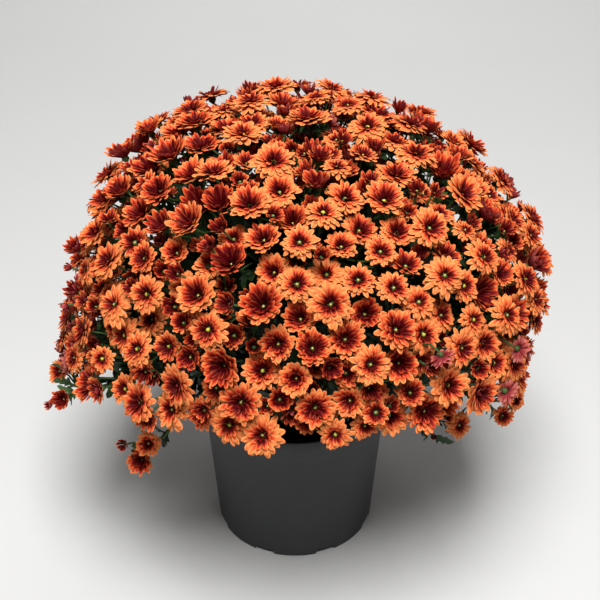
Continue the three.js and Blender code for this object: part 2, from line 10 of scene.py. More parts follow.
import bpy
import numpy as np
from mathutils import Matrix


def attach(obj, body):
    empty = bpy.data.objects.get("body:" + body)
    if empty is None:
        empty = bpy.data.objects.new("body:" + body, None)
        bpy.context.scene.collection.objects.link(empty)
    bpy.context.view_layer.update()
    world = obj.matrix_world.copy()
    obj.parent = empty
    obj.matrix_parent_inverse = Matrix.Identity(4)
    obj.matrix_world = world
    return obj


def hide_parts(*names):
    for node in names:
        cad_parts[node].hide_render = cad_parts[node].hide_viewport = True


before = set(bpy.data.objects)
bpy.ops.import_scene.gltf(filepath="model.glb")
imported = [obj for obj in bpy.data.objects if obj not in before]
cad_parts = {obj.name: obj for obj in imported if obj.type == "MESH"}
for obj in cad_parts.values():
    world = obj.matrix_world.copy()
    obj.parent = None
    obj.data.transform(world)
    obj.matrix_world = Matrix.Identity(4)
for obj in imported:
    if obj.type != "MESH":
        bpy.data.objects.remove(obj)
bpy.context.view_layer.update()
random = np.random.default_rng(11)
print("nodes of the frame:", len(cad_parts))

# %% [markdown]
# The camera comes first, because everything else is judged through it. The photograph
# looks down on the pot at about 32 degrees from 1.4 metres away, with a lens long
# enough that the pot's sides hardly converge.

# %% Camera
camera_place = (0.006, -1.01, 0.92)
camera_pitch = 31.8
camera_lens = 65.1


def new_object(name, data):
    """An object that holds the data, linked to the scene."""
    thing = bpy.data.objects.new(name, data)
    bpy.context.scene.collection.objects.link(thing)
    return thing


camera = new_object("camera", bpy.data.cameras.new("camera"))
camera.data.lens = camera_lens
camera.data.sensor_width = 36.0
camera.location = camera_place
camera.rotation_euler = (np.radians(90 - camera_pitch), 0, 0)
bpy.context.scene.camera = camera
print("camera at", camera_place, "looking down", camera_pitch, "degrees")

# %% [markdown]
# Every piece here is a set of closed shells made of rings of points. A stem is such a
# shell, and so is a leaf: its rings just have four points, the two edges, the top and the
# back. A petal does with three, because there are thirty thousand of them. One way to list
# the faces therefore serves them all, and a whole mesh is made at once from arrays instead
# of point by point.

# %% Units and directions
MILLIMETRE = 0.001


def unit(vectors):
    """Each vector divided by its length."""
    return vectors / np.maximum(np.linalg.norm(vectors, axis=-1, keepdims=True), 1e-9)


def dot(one, other):
    """Sum of the products of the three coordinates, kept as a column."""
    return np.sum(one * other, axis=-1, keepdims=True)


def across_ways(ways, helper=(0.31, 0.52, 0.79)):
    """Two directions square to each way and to each other."""
    first = unit(np.cross(ways, np.array(helper)))
    return first, np.cross(ways, first)


def turned_way(angle, first, second):
    """cos(angle) first + sin(angle) second, for every angle."""
    angle = angle[..., None]
    return np.cos(angle) * first + np.sin(angle) * second


# %% Closed shells of rings
def shell_faces(rings, sides):
    """Triangles of one shell: walls between its rings, and a fan to a point at each end.

    The points are the rings in order, then the first end's point and the last end's.
    """
    ring, side = np.meshgrid(np.arange(rings - 1), np.arange(sides), indexing="ij")
    low, low_next = ring * sides + side, ring * sides + (side + 1) % sides
    high, high_next = low + sides, low_next + sides
    first = np.stack([low, low_next, high_next], -1).reshape(-1, 3)
    second = np.stack([low, high_next, high], -1).reshape(-1, 3)
    turn = np.arange(sides)
    turn_next = (turn + 1) % sides
    start = np.full(sides, rings * sides)
    top = (rings - 1) * sides
    start_fan = np.stack([start, turn_next, turn], -1)
    end_fan = np.stack([start + 1, top + turn, top + turn_next], -1)
    return np.concatenate([first, second, start_fan, end_fan])


def repeat_faces(faces, points):
    """One shell's faces for each of many shells, whose points are (count, points, 3)."""
    offsets = np.arange(len(points)) * points.shape[1]
    return (faces[None] + offsets[:, None, None]).reshape(-1, 3)


def shells(rings, starts, ends):
    """Points and faces of many shells: rings is (count, rings, sides, 3)."""
    count, ring_count, sides = rings.shape[:3]
    points = np.concatenate([rings.reshape(count, -1, 3), starts[:, None], ends[:, None]], 1)
    return points.reshape(-1, 3), repeat_faces(shell_faces(ring_count, sides), points)


def join(parts):
    """Several (points, faces) as one, the later faces counted on from the earlier points."""
    offsets = np.cumsum([0] + [len(points) for points, _ in parts[:-1]])
    points = np.concatenate([points for points, _ in parts])
    return points, np.concatenate([faces + offset for (_, faces), offset in zip(parts, offsets)])


# %% From arrays to objects
def make_piece(name, points, faces, materials, replaced, sharp_angle=100):
    """A smooth object of triangles that rides on the plant and stands for CAD nodes."""
    mesh = bpy.data.meshes.new(name)
    mesh.vertices.add(len(points))
    mesh.vertices.foreach_set("co", (points * MILLIMETRE).astype(np.float32).ravel())
    mesh.loops.add(faces.size)
    mesh.loops.foreach_set("vertex_index", faces.astype(np.int32).ravel())
    mesh.polygons.add(len(faces))
    mesh.polygons.foreach_set("loop_start", np.arange(0, faces.size, 3, dtype=np.int32))
    mesh.update(calc_edges=True)
    mesh.shade_smooth()
    mesh.set_sharp_from_angle(angle=np.radians(sharp_angle))
    for material in materials:
        mesh.materials.append(material)
    piece = new_object(name, mesh)
    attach(piece, "root")
    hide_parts(*replaced)
    return piece


def add_values(mesh, name, values, domain="POINT"):
    """One number for each point, or for each corner, that a material can read by name."""
    attribute = mesh.attributes.new(name, "FLOAT", domain)
    attribute.data.foreach_set("value", values.astype(np.float32))


def add_uv(mesh, faces, places):
    """A flat map of the surface, given as two numbers for each point."""
    layer = mesh.uv_layers.new(name="surface")
    layer.data.foreach_set("uv", places[faces.ravel()].astype(np.float32).ravel())


# %% [markdown]
# Materials are graphs of small operations. A short helper that adds a node and wires it
# in keeps each of them readable, because what matters is the order of the operations and
# not the clicks that would make them.

# %% Material helpers
class Finish:
    """A material whose nodes are added one call at a time."""

    def __init__(self, name):
        self.material = bpy.data.materials.new(name)
        self.material.use_nodes = True
        self.nodes = self.material.node_tree.nodes
        self.links = self.material.node_tree.links
        self.shader = self.nodes["Principled BSDF"]

    def add(self, kind, inputs=(), **settings):
        """A node of that kind, its settings, and its inputs by name or number."""
        node = self.nodes.new("ShaderNode" + kind)
        for key, value in settings.items():
            setattr(node, key, value)
        for key, value in dict(inputs).items():
            self.put(value, node.inputs[key])
        return node

    def put(self, value, socket):
        """Links an output to the socket, or sets the socket to a plain value."""
        if isinstance(value, bpy.types.NodeSocket):
            self.links.new(value, socket)
        else:
            socket.default_value = value

    def attribute(self, name):
        return self.add("Attribute", attribute_name=name).outputs["Fac"]

    def math(self, operation, *values):
        """Arithmetic on numbers and outputs."""
        return self.add("Math", enumerate(values), operation=operation).outputs[0]

    def scaled(self, value, factor, offset=0.0):
        """Factor times value plus offset."""
        return self.math("MULTIPLY_ADD", value, factor, offset)

    def ramp(self, share, stops):
        """A colour that depends on a share from 0 to 1, given as (position, colour) stops."""
        node = self.add("ValToRGB", {"Fac": share})
        elements = node.color_ramp.elements
        while len(elements) < len(stops):
            elements.new(0.5)
        for element, (position, colour) in zip(elements, stops):
            element.position = position
            element.color = (*colour, 1)
        return node.outputs["Color"]

    def mix(self, share, one, other):
        """One colour that gives way to the other as the share grows."""
        node = self.add("Mix", data_type="RGBA")
        for value, number in ((share, 0), (one, 6), (other, 7)):
            self.put((*value, 1) if isinstance(value, tuple) else value, node.inputs[number])
        return node.outputs[2]

    def noise(self, vector, scale, detail=2.0, roughness=0.5):
        inputs = {"Vector": vector, "Scale": scale, "Detail": detail, "Roughness": roughness}
        return self.add("TexNoise", inputs).outputs["Fac"]

    def coordinates(self):
        return self.add("TexCoord").outputs["Object"]

    def surface_map(self):
        """The two numbers of the surface's own map: across and along."""
        uv = self.add("UVMap", uv_map="surface").outputs["UV"]
        split = self.add("SeparateXYZ", {0: uv})
        return split.outputs[0], split.outputs[1]

    def bump(self, height, distance, strength=1.0):
        inputs = {"Height": height, "Distance": distance, "Strength": strength}
        return self.add("Bump", inputs).outputs["Normal"]

    def finish(self, colour, roughness, normal=None, **constants):
        """Wires the shader up and sets what is the same all over."""
        self.put(colour, self.shader.inputs["Base Color"])
        self.put(roughness, self.shader.inputs["Roughness"])
        if normal:
            self.put(normal, self.shader.inputs["Normal"])
        for key, value in constants.items():
            self.shader.inputs[key.replace("_", " ")].default_value = value
        print("finish:", self.material.name, "with", len(self.nodes), "nodes")
        return self.material


# %% [markdown]
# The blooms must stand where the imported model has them. Its rule is simple enough to be
# followed here again: directions spread over a rounded dome that bulges to one side, pushed
# apart until they cover it evenly, then three layers chosen so that neighbours overlap as
# little as they can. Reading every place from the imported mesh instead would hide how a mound
# is made.

# %% The mound
mound_middle = np.array([0.0, 0.0, 257.0])
mound_radius = 256.0
mound_rise = 258.0
mound_squareness = 2.5
sway_start = -5.0
sway_bulge = 24.0
sway_height = 120.0
sway_spread = 86.0
skirt_polar = np.radians(103)
front_lift = 0.235
front_reach = 1.35
golden_angle = np.pi * (3 - np.sqrt(5))
facing_lift = 0.28
up = np.array([0.0, 0.0, 1.0])


def fraction(index, purpose):
    """What follows the point in 43758.5453 sin(12.9898 index + 78.233 purpose)."""
    value = np.sin(index * 12.9898 + purpose * 78.233) * 43758.5453
    return value - np.floor(value)


def either_way(index, purpose):
    """The same number stretched to run from -1 to 1."""
    return 2 * fraction(index, purpose) - 1


def towards(polar, azimuth):
    """The unit vector at an angle from the vertical and an angle round it."""
    across = np.sin(polar)
    return np.stack([across * np.cos(azimuth), across * np.sin(azimuth), np.cos(polar)], -1)


def lowest_polar(azimuth):
    """How far down the blooms reach: less far the more the azimuth points to the front."""
    front = np.minimum(1, front_reach * np.maximum(0, -np.sin(azimuth)))
    return skirt_polar * (1 - front_lift * front)


# %% Places on the mound
def sway_at(height):
    """Sideways move of the mound: start + bulge exp(-((height - sway height) / spread)^2)."""
    return sway_start + sway_bulge * np.exp(-((height - sway_height) / sway_spread) ** 2)


def place_at(direction, depth):
    """The dome is a squarish ellipsoid: |across/radius|^p + |height/rise|^p = 1."""
    across = np.hypot(direction[..., 0], direction[..., 1]) / mound_radius
    along = np.abs(direction[..., 2]) / mound_rise
    power = mound_squareness
    reach = (across ** power + along ** power) ** (-1 / power)
    point = direction * (reach - depth)[..., None] + mound_middle
    point[..., 0] += sway_at(point[..., 2] - mound_middle[2])
    return point


def direction_of(point):
    """The direction that a point has from the mound's middle, kept above the skirt."""
    offset = point - mound_middle
    offset[..., 0] -= sway_at(offset[..., 2])
    azimuth = np.arctan2(offset[..., 1], offset[..., 0])
    polar = np.arctan2(np.hypot(offset[..., 0], offset[..., 1]), offset[..., 2])
    return towards(np.minimum(polar, lowest_polar(azimuth)), azimuth)


def outward_at(direction):
    """The dome's outward direction: the slope of its formula, with the height's sign kept."""
    across = np.hypot(direction[..., 0], direction[..., 1])
    slope = mound_squareness - 1
    pull = across ** slope / mound_radius ** mound_squareness / np.maximum(across, 1e-6)
    rise = np.abs(direction[..., 2]) ** slope / mound_rise ** mound_squareness
    rise = rise * np.sign(direction[..., 2])
    return unit(np.stack([direction[..., 0] * pull, direction[..., 1] * pull, rise], -1))


# %% Directions of the sprays and blooms
spray_count = 48
arm_spread = 31.0
bloom_spread = 20.0
turns_tried = 12


def around(centre, distance, first_angle):
    """Three directions evenly round a middle one, a distance away from it on the mound."""
    east = unit(np.cross(up, centre))
    north = np.cross(centre, east)
    angle = first_angle + np.arange(3) * 2 * np.pi / 3
    size = distance / mound_radius
    return unit(centre + size * turned_way(angle, east, north))


def starting_arms():
    """Arms of the sprays, each spray turned so that its arms stay clear of the others."""
    arms = np.zeros((0, 3))
    for spray in range(spray_count):
        azimuth = spray * golden_angle
        share = (spray + 0.5) / spray_count
        polar = np.arccos(1 - share * (1 - np.cos(lowest_polar(azimuth))))
        centre = towards(polar, azimuth)
        widest = -1
        for turn in range(turns_tried):
            tried = around(centre, arm_spread, turn * 2 * np.pi / (3 * turns_tried))
            gaps = np.linalg.norm(tried[:, None] - arms[None], axis=-1)
            nearest = min(2, gaps.min()) if gaps.size else 2
            if nearest > widest:
                widest, own = nearest, tried
        arms = np.concatenate([arms, own])
    return arms


# %% Blooms push each other apart
bloom_spacing = 37.5
spread_rounds = 40
spread_strength = 0.3


def spread_out(directions, held):
    """Blooms push each other apart: by a share of (spacing / distance - 1) a round."""
    for _ in range(spread_rounds):
        points = place_at(directions, np.zeros(len(directions)))
        way = points[:, None] - np.concatenate([points, held])[None]
        distance = np.linalg.norm(way, axis=-1)
        near = (distance > 0) & (distance < bloom_spacing)
        crowding = bloom_spacing / np.maximum(distance, 1e-9) - 1
        push = np.where(near, spread_strength * crowding, 0)
        directions = direction_of(points + np.sum(push[..., None] * way, axis=1))
    return directions


# %% Stray sprays
# Each bloom's place, radius and openness, three to a spray.
stray_blooms_given = np.array([
    [[-268, -80, 209, 8, 0.15], [-247, -90, 226, 14, 0.45], [-258, -50, 234, 16, 0.7]],
    [[-158, -150, 192, 18, 0.5], [-146, -166, 227, 16, 0.66], [-176, -150, 213, 9, 0.3]],
    [[170, -140, 230, 17, 0.95], [142, -155, 226, 6, 0.06], [156, -148, 248, 8, 0.3]],
    [[243, -62, 206, 18, 0.85], [224, -92, 205, 14, 0.75], [236, -92, 226, 8, 0.4]],
])
stray_lift = 0.25
stray_splay = 0.02
stray_turn = np.array([0.0, -0.6, 0.35])
stray_fork_depth = 34
stray_seat_depth = 62

stray_count = len(stray_blooms_given)
stray_centres = stray_blooms_given[..., :3]
stray_radii = stray_blooms_given[..., 3].ravel()
stray_openness = stray_blooms_given[..., 4].ravel()
stray_middles = stray_centres.mean(axis=1)
stray_axes = unit(unit(stray_middles - mound_middle) + stray_lift * up)
stray_ways = (stray_centres - stray_middles[:, None]) * stray_splay
stray_facings = unit(stray_ways + stray_axes[:, None] + stray_turn).reshape(-1, 3)
stray_forks = stray_middles - stray_fork_depth * stray_axes
stray_seats = stray_middles - stray_seat_depth * stray_axes
stray_centres = stray_centres.reshape(-1, 3)
stray_directions = direction_of(stray_centres.copy())
print("stray sprays:", stray_count, "with", len(stray_radii), "blooms")

# %% Room between blooms
layer_depths = np.array([0.0, 11.0, 22.0])
layer_radii = np.array([24.0, 23.0, 22.0])
layer_rounds = 6
radius_jitter = 1.8
neighbour_reach = 0.35
bud_share = 0.3
bud_radius = 6.0
facing_tilt = 0.09
bloom_gap = 1.0
free_depth = 2.5
depth_gain = 2.2
most_gain = 20.0


def room_between(centre, facing, centres, facings):
    """The room of two blooms side by side, more once one lies deep enough below the other."""
    way = centres - centre
    below = np.abs(way @ facing + np.sum(way * facings, axis=-1)) / 2
    beside = np.sqrt(np.maximum(0, np.sum(way * way, axis=-1) - below ** 2))
    gain = np.maximum(0, below - free_depth) * depth_gain
    return beside - bloom_gap + np.minimum(gain, most_gain)


# %% Directions, facings and three layers to choose from
held_points = np.concatenate([stray_centres, stray_forks])
arm_list = starting_arms()
first_directions = np.concatenate([
    around(arm, bloom_spread, fraction(k, 1) * 2 * np.pi) for k, arm in enumerate(arm_list)
])
bloom_directions = spread_out(first_directions, held_points)
bloom_number = np.arange(len(bloom_directions))
tilts = np.stack([either_way(bloom_number, purpose) for purpose in (2, 3, 4)], -1)
lifted = unit(outward_at(bloom_directions) + facing_lift * up)
bloom_facings = unit(lifted + facing_tilt * tilts)
radius_change = radius_jitter * either_way(bloom_number, 5)
layer_places = np.stack([
    place_at(bloom_directions, np.full(len(bloom_number), depth)) for depth in layer_depths
])


# %% The layer of each bloom
def choose_layers():
    """Each bloom moves, a few times over, to the layer where it overlaps the least."""
    layer = bloom_number % 3
    centres = np.concatenate([layer_places[layer, bloom_number], stray_centres])
    radii = np.concatenate([layer_radii[layer] + radius_change, stray_radii])
    facings = np.concatenate([bloom_facings, stray_facings])
    directions = np.concatenate([bloom_directions, stray_directions])
    for _ in range(layer_rounds):
        for i in bloom_number:
            near = np.linalg.norm(directions - directions[i], axis=-1) < neighbour_reach
            near[i] = False
            costs = []
            for k in range(3):
                radius = layer_radii[k] + radius_change[i]
                room = room_between(layer_places[k, i], facings[i], centres[near], facings[near])
                costs.append(np.sum(np.maximum(0, radius + radii[near] - room) ** 2))
            layer[i] = int(np.argmin(costs))
            centres[i] = layer_places[layer[i], i]
            radii[i] = layer_radii[layer[i]] + radius_change[i]
    return layer, centres, radii, facings


bloom_layers, centres, radii, facings = choose_layers()
print("blooms in each layer:", np.bincount(bloom_layers).tolist())

# %% The radius of each bloom
# A bloom is made smaller until it keeps clear of its neighbours.
closed_buds = (bloom_layers == 2) & (fraction(bloom_number, 6) < bud_share)
radii[:len(bloom_number)][closed_buds] = bud_radius
wanted_radii = radii.copy()
for i in bloom_number:
    room = room_between(centres[i], facings[i], centres, facings)
    share = room / (wanted_radii[i] + wanted_radii)
    share[i] = 1
    radii[i] = wanted_radii[i] * min(1, share.min())
open_radii = radii[radii > bud_radius]
print("blooms:", len(radii), "mean radius", round(float(open_radii.mean()), 1), "mm")

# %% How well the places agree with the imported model
spray_names = [f"spray_{k + 1:02d}" for k in range(spray_count)]
stray_names = [f"stray_spray_{k + 1}" for k in range(stray_count)]
stray_spray = np.arange(3 * stray_count) // 3
bloom_spray = np.concatenate([bloom_number // 9, spray_count + stray_spray])
# The middle of a packed bloom's dish lies a little below the bloom's own middle.
dish_depth = 3
farthest = 0
for k, name in enumerate(spray_names + stray_names):
    corners = np.array([v.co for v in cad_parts[name].data.vertices]) / MILLIMETRE
    own = (bloom_spray == k) & (radii > bud_radius)
    dishes = centres[own] - dish_depth * facings[own]
    gaps = np.linalg.norm(dishes[:, None] - corners[None], axis=-1).min(axis=1)
    farthest = max(farthest, float(gaps.max()))
print("farthest bloom from the packed one:", round(farthest, 3), "mm")

# %% [markdown]
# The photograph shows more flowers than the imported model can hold: between the open ones
# stand smaller, darker, half-open ones. They go where the mound still has gaps. A grid of
# tried directions keeps its distance to the nearest bloom's edge, the widest gap gets the
# next bloom, and the distances are brought up to date.

# %% Side blooms in the gaps
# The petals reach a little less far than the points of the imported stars.
bloom_growth = 0.98
side_count = 330
tried_count = 5000
side_depths = (1.0, 24.0)
side_radii = (9.0, 20.0)
side_overlap = 8.0
edge_angle = 0.03
skirt_height = 0.12
skirt_freedom = 0.7
other_freedom = 0.25

tried_number = np.arange(tried_count)
tried_azimuth = tried_number * golden_angle
tried_share = (tried_number + 0.5) / tried_count
tried_lowest = lowest_polar(tried_azimuth) - edge_angle
tried_polar = np.arccos(1 - tried_share * (1 - np.cos(tried_lowest)))
tried_directions = towards(tried_polar, tried_azimuth)
tried_depths = side_depths[0] + (side_depths[1] - side_depths[0]) * fraction(tried_number, 11)
tried_places = place_at(tried_directions, tried_depths)
reach_to_blooms = np.linalg.norm(tried_places[:, None] - centres[None], axis=-1)
room_left = (reach_to_blooms - bloom_growth * radii[None]).min(axis=1)
side_picks = []
side_sizes = []
for _ in range(side_count):
    pick = int(np.argmax(room_left))
    size = float(np.clip(room_left[pick] + side_overlap, *side_radii))
    side_picks.append(pick)
    side_sizes.append(size)
    gap = np.linalg.norm(tried_places - tried_places[pick], axis=-1) - size
    room_left = np.minimum(room_left, gap)
side_centres = tried_places[side_picks]
side_directions = tried_directions[side_picks]
# Those on the skirt turn more freely, so that some show their backs.
on_skirt = side_directions[:, 2] < skirt_height
side_freedom = np.where(on_skirt, skirt_freedom, other_freedom)[:, None]
side_facings = unit(unit(outward_at(side_directions) + facing_lift * up)
                    + side_freedom * random.normal(size=(side_count, 3)))
print("side blooms:", side_count, "radius", round(min(side_sizes), 1), "to",
      round(max(side_sizes), 1), "mm")

# %% Blooms that hang or stand out
# Place, radius, openness and facing: one links a stray spray, three show their backs, and
# four buds stand out at the left.
hanging_blooms = np.array([
    [-138, -206, 290, 16, 0.5, -0.3, -0.9, 0.1],
    [217, -160, 337, 15, 0.8, 0.85, 0.25, -0.45],
    [208, -168, 292, 16, 0.85, 0.8, 0.15, -0.6],
    [133, -224, 370, 14, 0.75, 0.45, -0.1, -0.9],
    [-222, -52, 390, 14, 0.26, -0.5, -0.35, 0.8],
    [-226, -70, 350, 12.5, 0.22, -0.6, -0.4, 0.7],
    [-233, -62, 372, 8, 0.1, -0.8, -0.4, 0.4],
    [-236, -82, 334, 9, 0.12, -0.8, -0.6, -0.1],
])
print("blooms that hang or stand out:", len(hanging_blooms))

# %% Forks of the sprays
arm_fork_depth = 60.0
spray_fork_depth = 88.0
seat_depth = 113.0

own_directions = bloom_directions.reshape(spray_count, 3, 3, 3)
arm_directions = unit(own_directions.mean(axis=2))
spray_directions = unit(arm_directions.mean(axis=1))
arm_forks = place_at(arm_directions, np.full((spray_count, 3), arm_fork_depth))
spray_forks = place_at(spray_directions, np.full(spray_count, spray_fork_depth))
seats = place_at(spray_directions, np.full(spray_count, seat_depth))
seat_ways = unit(spray_forks - seats)

all_forks = np.concatenate([arm_forks.reshape(-1, 3), stray_forks])
fork_spray = np.concatenate([
    np.repeat(np.arange(spray_count), 3), spray_count + np.arange(stray_count)])
extra_centres = np.concatenate([side_centres, hanging_blooms[:, :3]])
side_fork = np.linalg.norm(extra_centres[:, None] - all_forks[None], axis=-1).argmin(axis=1)
main_fork = np.concatenate([bloom_number // 3, 3 * spray_count + stray_spray])
print("forks that carry blooms:", len(all_forks))

# %% All blooms together: where they stand and how wide they are
nod = 0.11
stray_nod = 0.6 * unit(np.array([0.0, -0.8, 0.6]))

centre = np.concatenate([centres, extra_centres])
nodding = nod * random.normal(size=facings.shape)
# Those of the strays turn their faces up to the light in front.
nodding[len(bloom_number):] += stray_nod
facing = np.concatenate([unit(facings + nodding), side_facings, unit(hanging_blooms[:, 5:])])
radius = np.concatenate([radii * bloom_growth, side_sizes, hanging_blooms[:, 3]])
fork_of = np.concatenate([main_fork, side_fork])
spray_of = fork_spray[fork_of]
bloom_count = len(radius)
main_count = len(radii)
print("blooms in all:", bloom_count)

# %% How open they are
# Openness: 0 is a bud, 1 is fully open. Deeper blooms are younger.
openness_floor = np.array([0.68, 0.54, 0.38])
openness_power = 0.8
bud_openness = 0.06
patch_size = 60
patch_start = 0.8
patch_closing = 0.26
heart_depth = 8.5
heart_rise = 4.5
side_open_least = 0.12
side_open_chance = 0.3
side_open_size = 0.55
opening_share = 0.75
layer_open = openness_floor[bloom_layers]
own_open = layer_open + (1 - layer_open) * fraction(bloom_number, 21) ** openness_power
own_open[closed_buds] = bud_openness
# Younger flowers stand together in patches: three crossed waves over the mound.
patch_place = centres[:len(bloom_number)] / patch_size
patch = np.sin(patch_place[:, 0] + 1) * np.sin(1.3 * patch_place[:, 2]) + np.sin(
    1.1 * patch_place[:, 0] - 0.9 * patch_place[:, 2] + patch_place[:, 1])
own_open -= np.where(closed_buds, 0, patch_closing * (patch > patch_start))
side_share = (np.array(side_sizes) - side_radii[0]) / (side_radii[1] - side_radii[0])
side_chance = fraction(np.arange(side_count), 23)
side_open = side_open_least + side_open_chance * side_chance
side_open = side_open + side_open_size * side_share * (side_chance < opening_share)
openness = np.concatenate([own_open, stray_openness, side_open, hanging_blooms[:, 4]])
# The heart, where the petals start, lies below the middle, less so the more open it is.
heart = centre - (heart_depth - heart_rise * openness)[:, None] * facing
print("fully open:", int((openness > 0.75).sum()))

# %% [markdown]
# A chrysanthemum's flower is a shallow cup of petals in rows. The outer rows lie nearly
# flat, the inner ones stand up round a small eye. Every petal is the same kind of blade: a
# spine that starts at some slope and bends to another, a width that grows and then rounds
# off at the tip, and a middle that is raised into a soft ridge. Row, age and chance only
# change the numbers, so all petals of a row are worked out together. One modelled flower
# with many copies would be less work, but the eye soon finds the twins; here no two
# flowers are the same. A leaf is a blade too, with its edges raised instead of its middle.

# %% Blades: petals and leaves
def blades(spine, side, normal, half_width, channel, thickness, sweep):
    """Closed blades round spines (count, stations, 3), whose last station is the tip.

    At each other station the ring has four points: the spine plus and minus the half width
    along the side, lifted by the channel's depth along the normal and moved forward by the
    sweep, the spine itself, and the spine minus the thickness along the normal.
    """
    ends = spine[:, -1]
    middle = spine[:, :-1]
    along = unit(spine[:, 1:] - middle)
    reach = half_width[..., None] * side
    lift = channel[..., None] * normal + sweep[..., None] * along
    left = middle + reach + lift
    right = middle - reach + lift
    back = middle - thickness[..., None] * normal
    return shells(np.stack([left, middle, right, back], axis=2), middle[:, 0], ends)


def ribbons(spine, side, normal, half_width, ridge, thickness):
    """Lighter blades with three points a ring: the two edges, and the middle raised a little.

    The edges lie the thickness below the spine along the normal, the middle the ridge above.
    """
    middle = spine[:, :-1]
    reach = half_width[..., None] * side
    low = middle - thickness[..., None] * normal
    top = middle + ridge[..., None] * normal
    rings = np.stack([low + reach, top, low - reach], axis=2)
    return shells(rings, middle[:, 0], spine[:, -1])


def blade_across(stations, sides):
    """For every point of a blade: its place across, 0 and 1 at the edges."""
    return np.array([0.0, 0.5, 1.0, 0.5][:sides] * (stations - 1) + [0.5, 0.5])


def blade_back(stations, sides):
    """1 for every triangle of a blade's back, and 0 for its upper side."""
    side = np.tile(np.arange(sides), stations - 2)
    fan = np.arange(sides)
    return (np.concatenate([side, side, fan, fan]) >= 2).astype(float)


# %% Rows of petals
# For each row: petals of a large, a middling and a small flower, reach as a share of the
# radius, slopes in degrees at the start and end of an open and of a closed petal, width as
# a share of the radius, stations, and how far out its petals stay dark: partly their own
# redder colour, partly painted shade deep in the cup.
full_stations = (0, 0.42, 0.78, 0.94, 1)
inner_stations = (0, 0.5, 0.85, 1)
petal_rows = [
    {"petals": (17, 13, 9), "reach": 1.0, "open": (14, -40), "closed": (62, 104),
     "width": 0.255, "stations": full_stations, "red_and_cup_shade": 0.0},
    {"petals": (15, 11, 8), "reach": 0.93, "open": (27, -22), "closed": (68, 103),
     "width": 0.25, "stations": full_stations, "red_and_cup_shade": 0.06},
    {"petals": (11, 7, 5), "reach": 0.78, "open": (35, -8), "closed": (74, 101),
     "width": 0.25, "stations": inner_stations, "red_and_cup_shade": 0.16},
    {"petals": (8, 4, 3), "reach": 0.56, "open": (47, 16), "closed": (80, 98),
     "width": 0.2, "stations": inner_stations, "red_and_cup_shade": 0.34},
    {"petals": (5, 0, 0), "reach": 0.34, "open": (62, 44), "closed": (85, 95),
     "width": 0.15, "stations": (0, 0.6, 1), "red_and_cup_shade": 0.6},
]

# %% How a petal is shaped and how petals vary
petal_outline = ((0, 0.4), (0.42, 0.86), (0.5, 0.92), (0.78, 1.0), (0.85, 0.84), (0.94, 0.54))
petal_thickness = 0.4
small_radius = 13
heart_radius = 2.2
heart_narrowing = 0.15
heart_share = 0.3
young_reach = 0.72
young_width = 1.3
reach_range = (0.8, 1.08)
width_range = (0.86, 1.1)
ridge_range = (0.3, 1.5)
ridge_share = 0.16
slope_change = 4.5
twist_change = 0.2
turn_change = 0.24
row_turn = 0.37
least_spread = 0.56
change_start = 0.18
change_young = 0.66
change_random = 0.05
change_width = 0.5
tone_lift = 0.14

# Packed blooms are large (0), added ones middling (1), and the smallest of both small (2).
flower_kind = np.where(np.arange(bloom_count) < main_count, 0, 1)
flower_kind[radius < small_radius] = 2
spin = random.random(bloom_count) * 2 * np.pi
bloom_shade = random.normal(0, 0.07, bloom_count)


# %% Shells that are all alike
def alike(owner, points, faces, back, **values):
    """Shells that are all alike: a row of points, and of the values at them, for each."""
    points = points.reshape(len(owner), -1, 3)
    part = {key: np.broadcast_to(value, points.shape[:2]) for key, value in values.items()}
    part.update(owner=owner, points=points, faces=faces[:len(faces) // len(owner)], back=back)
    return part


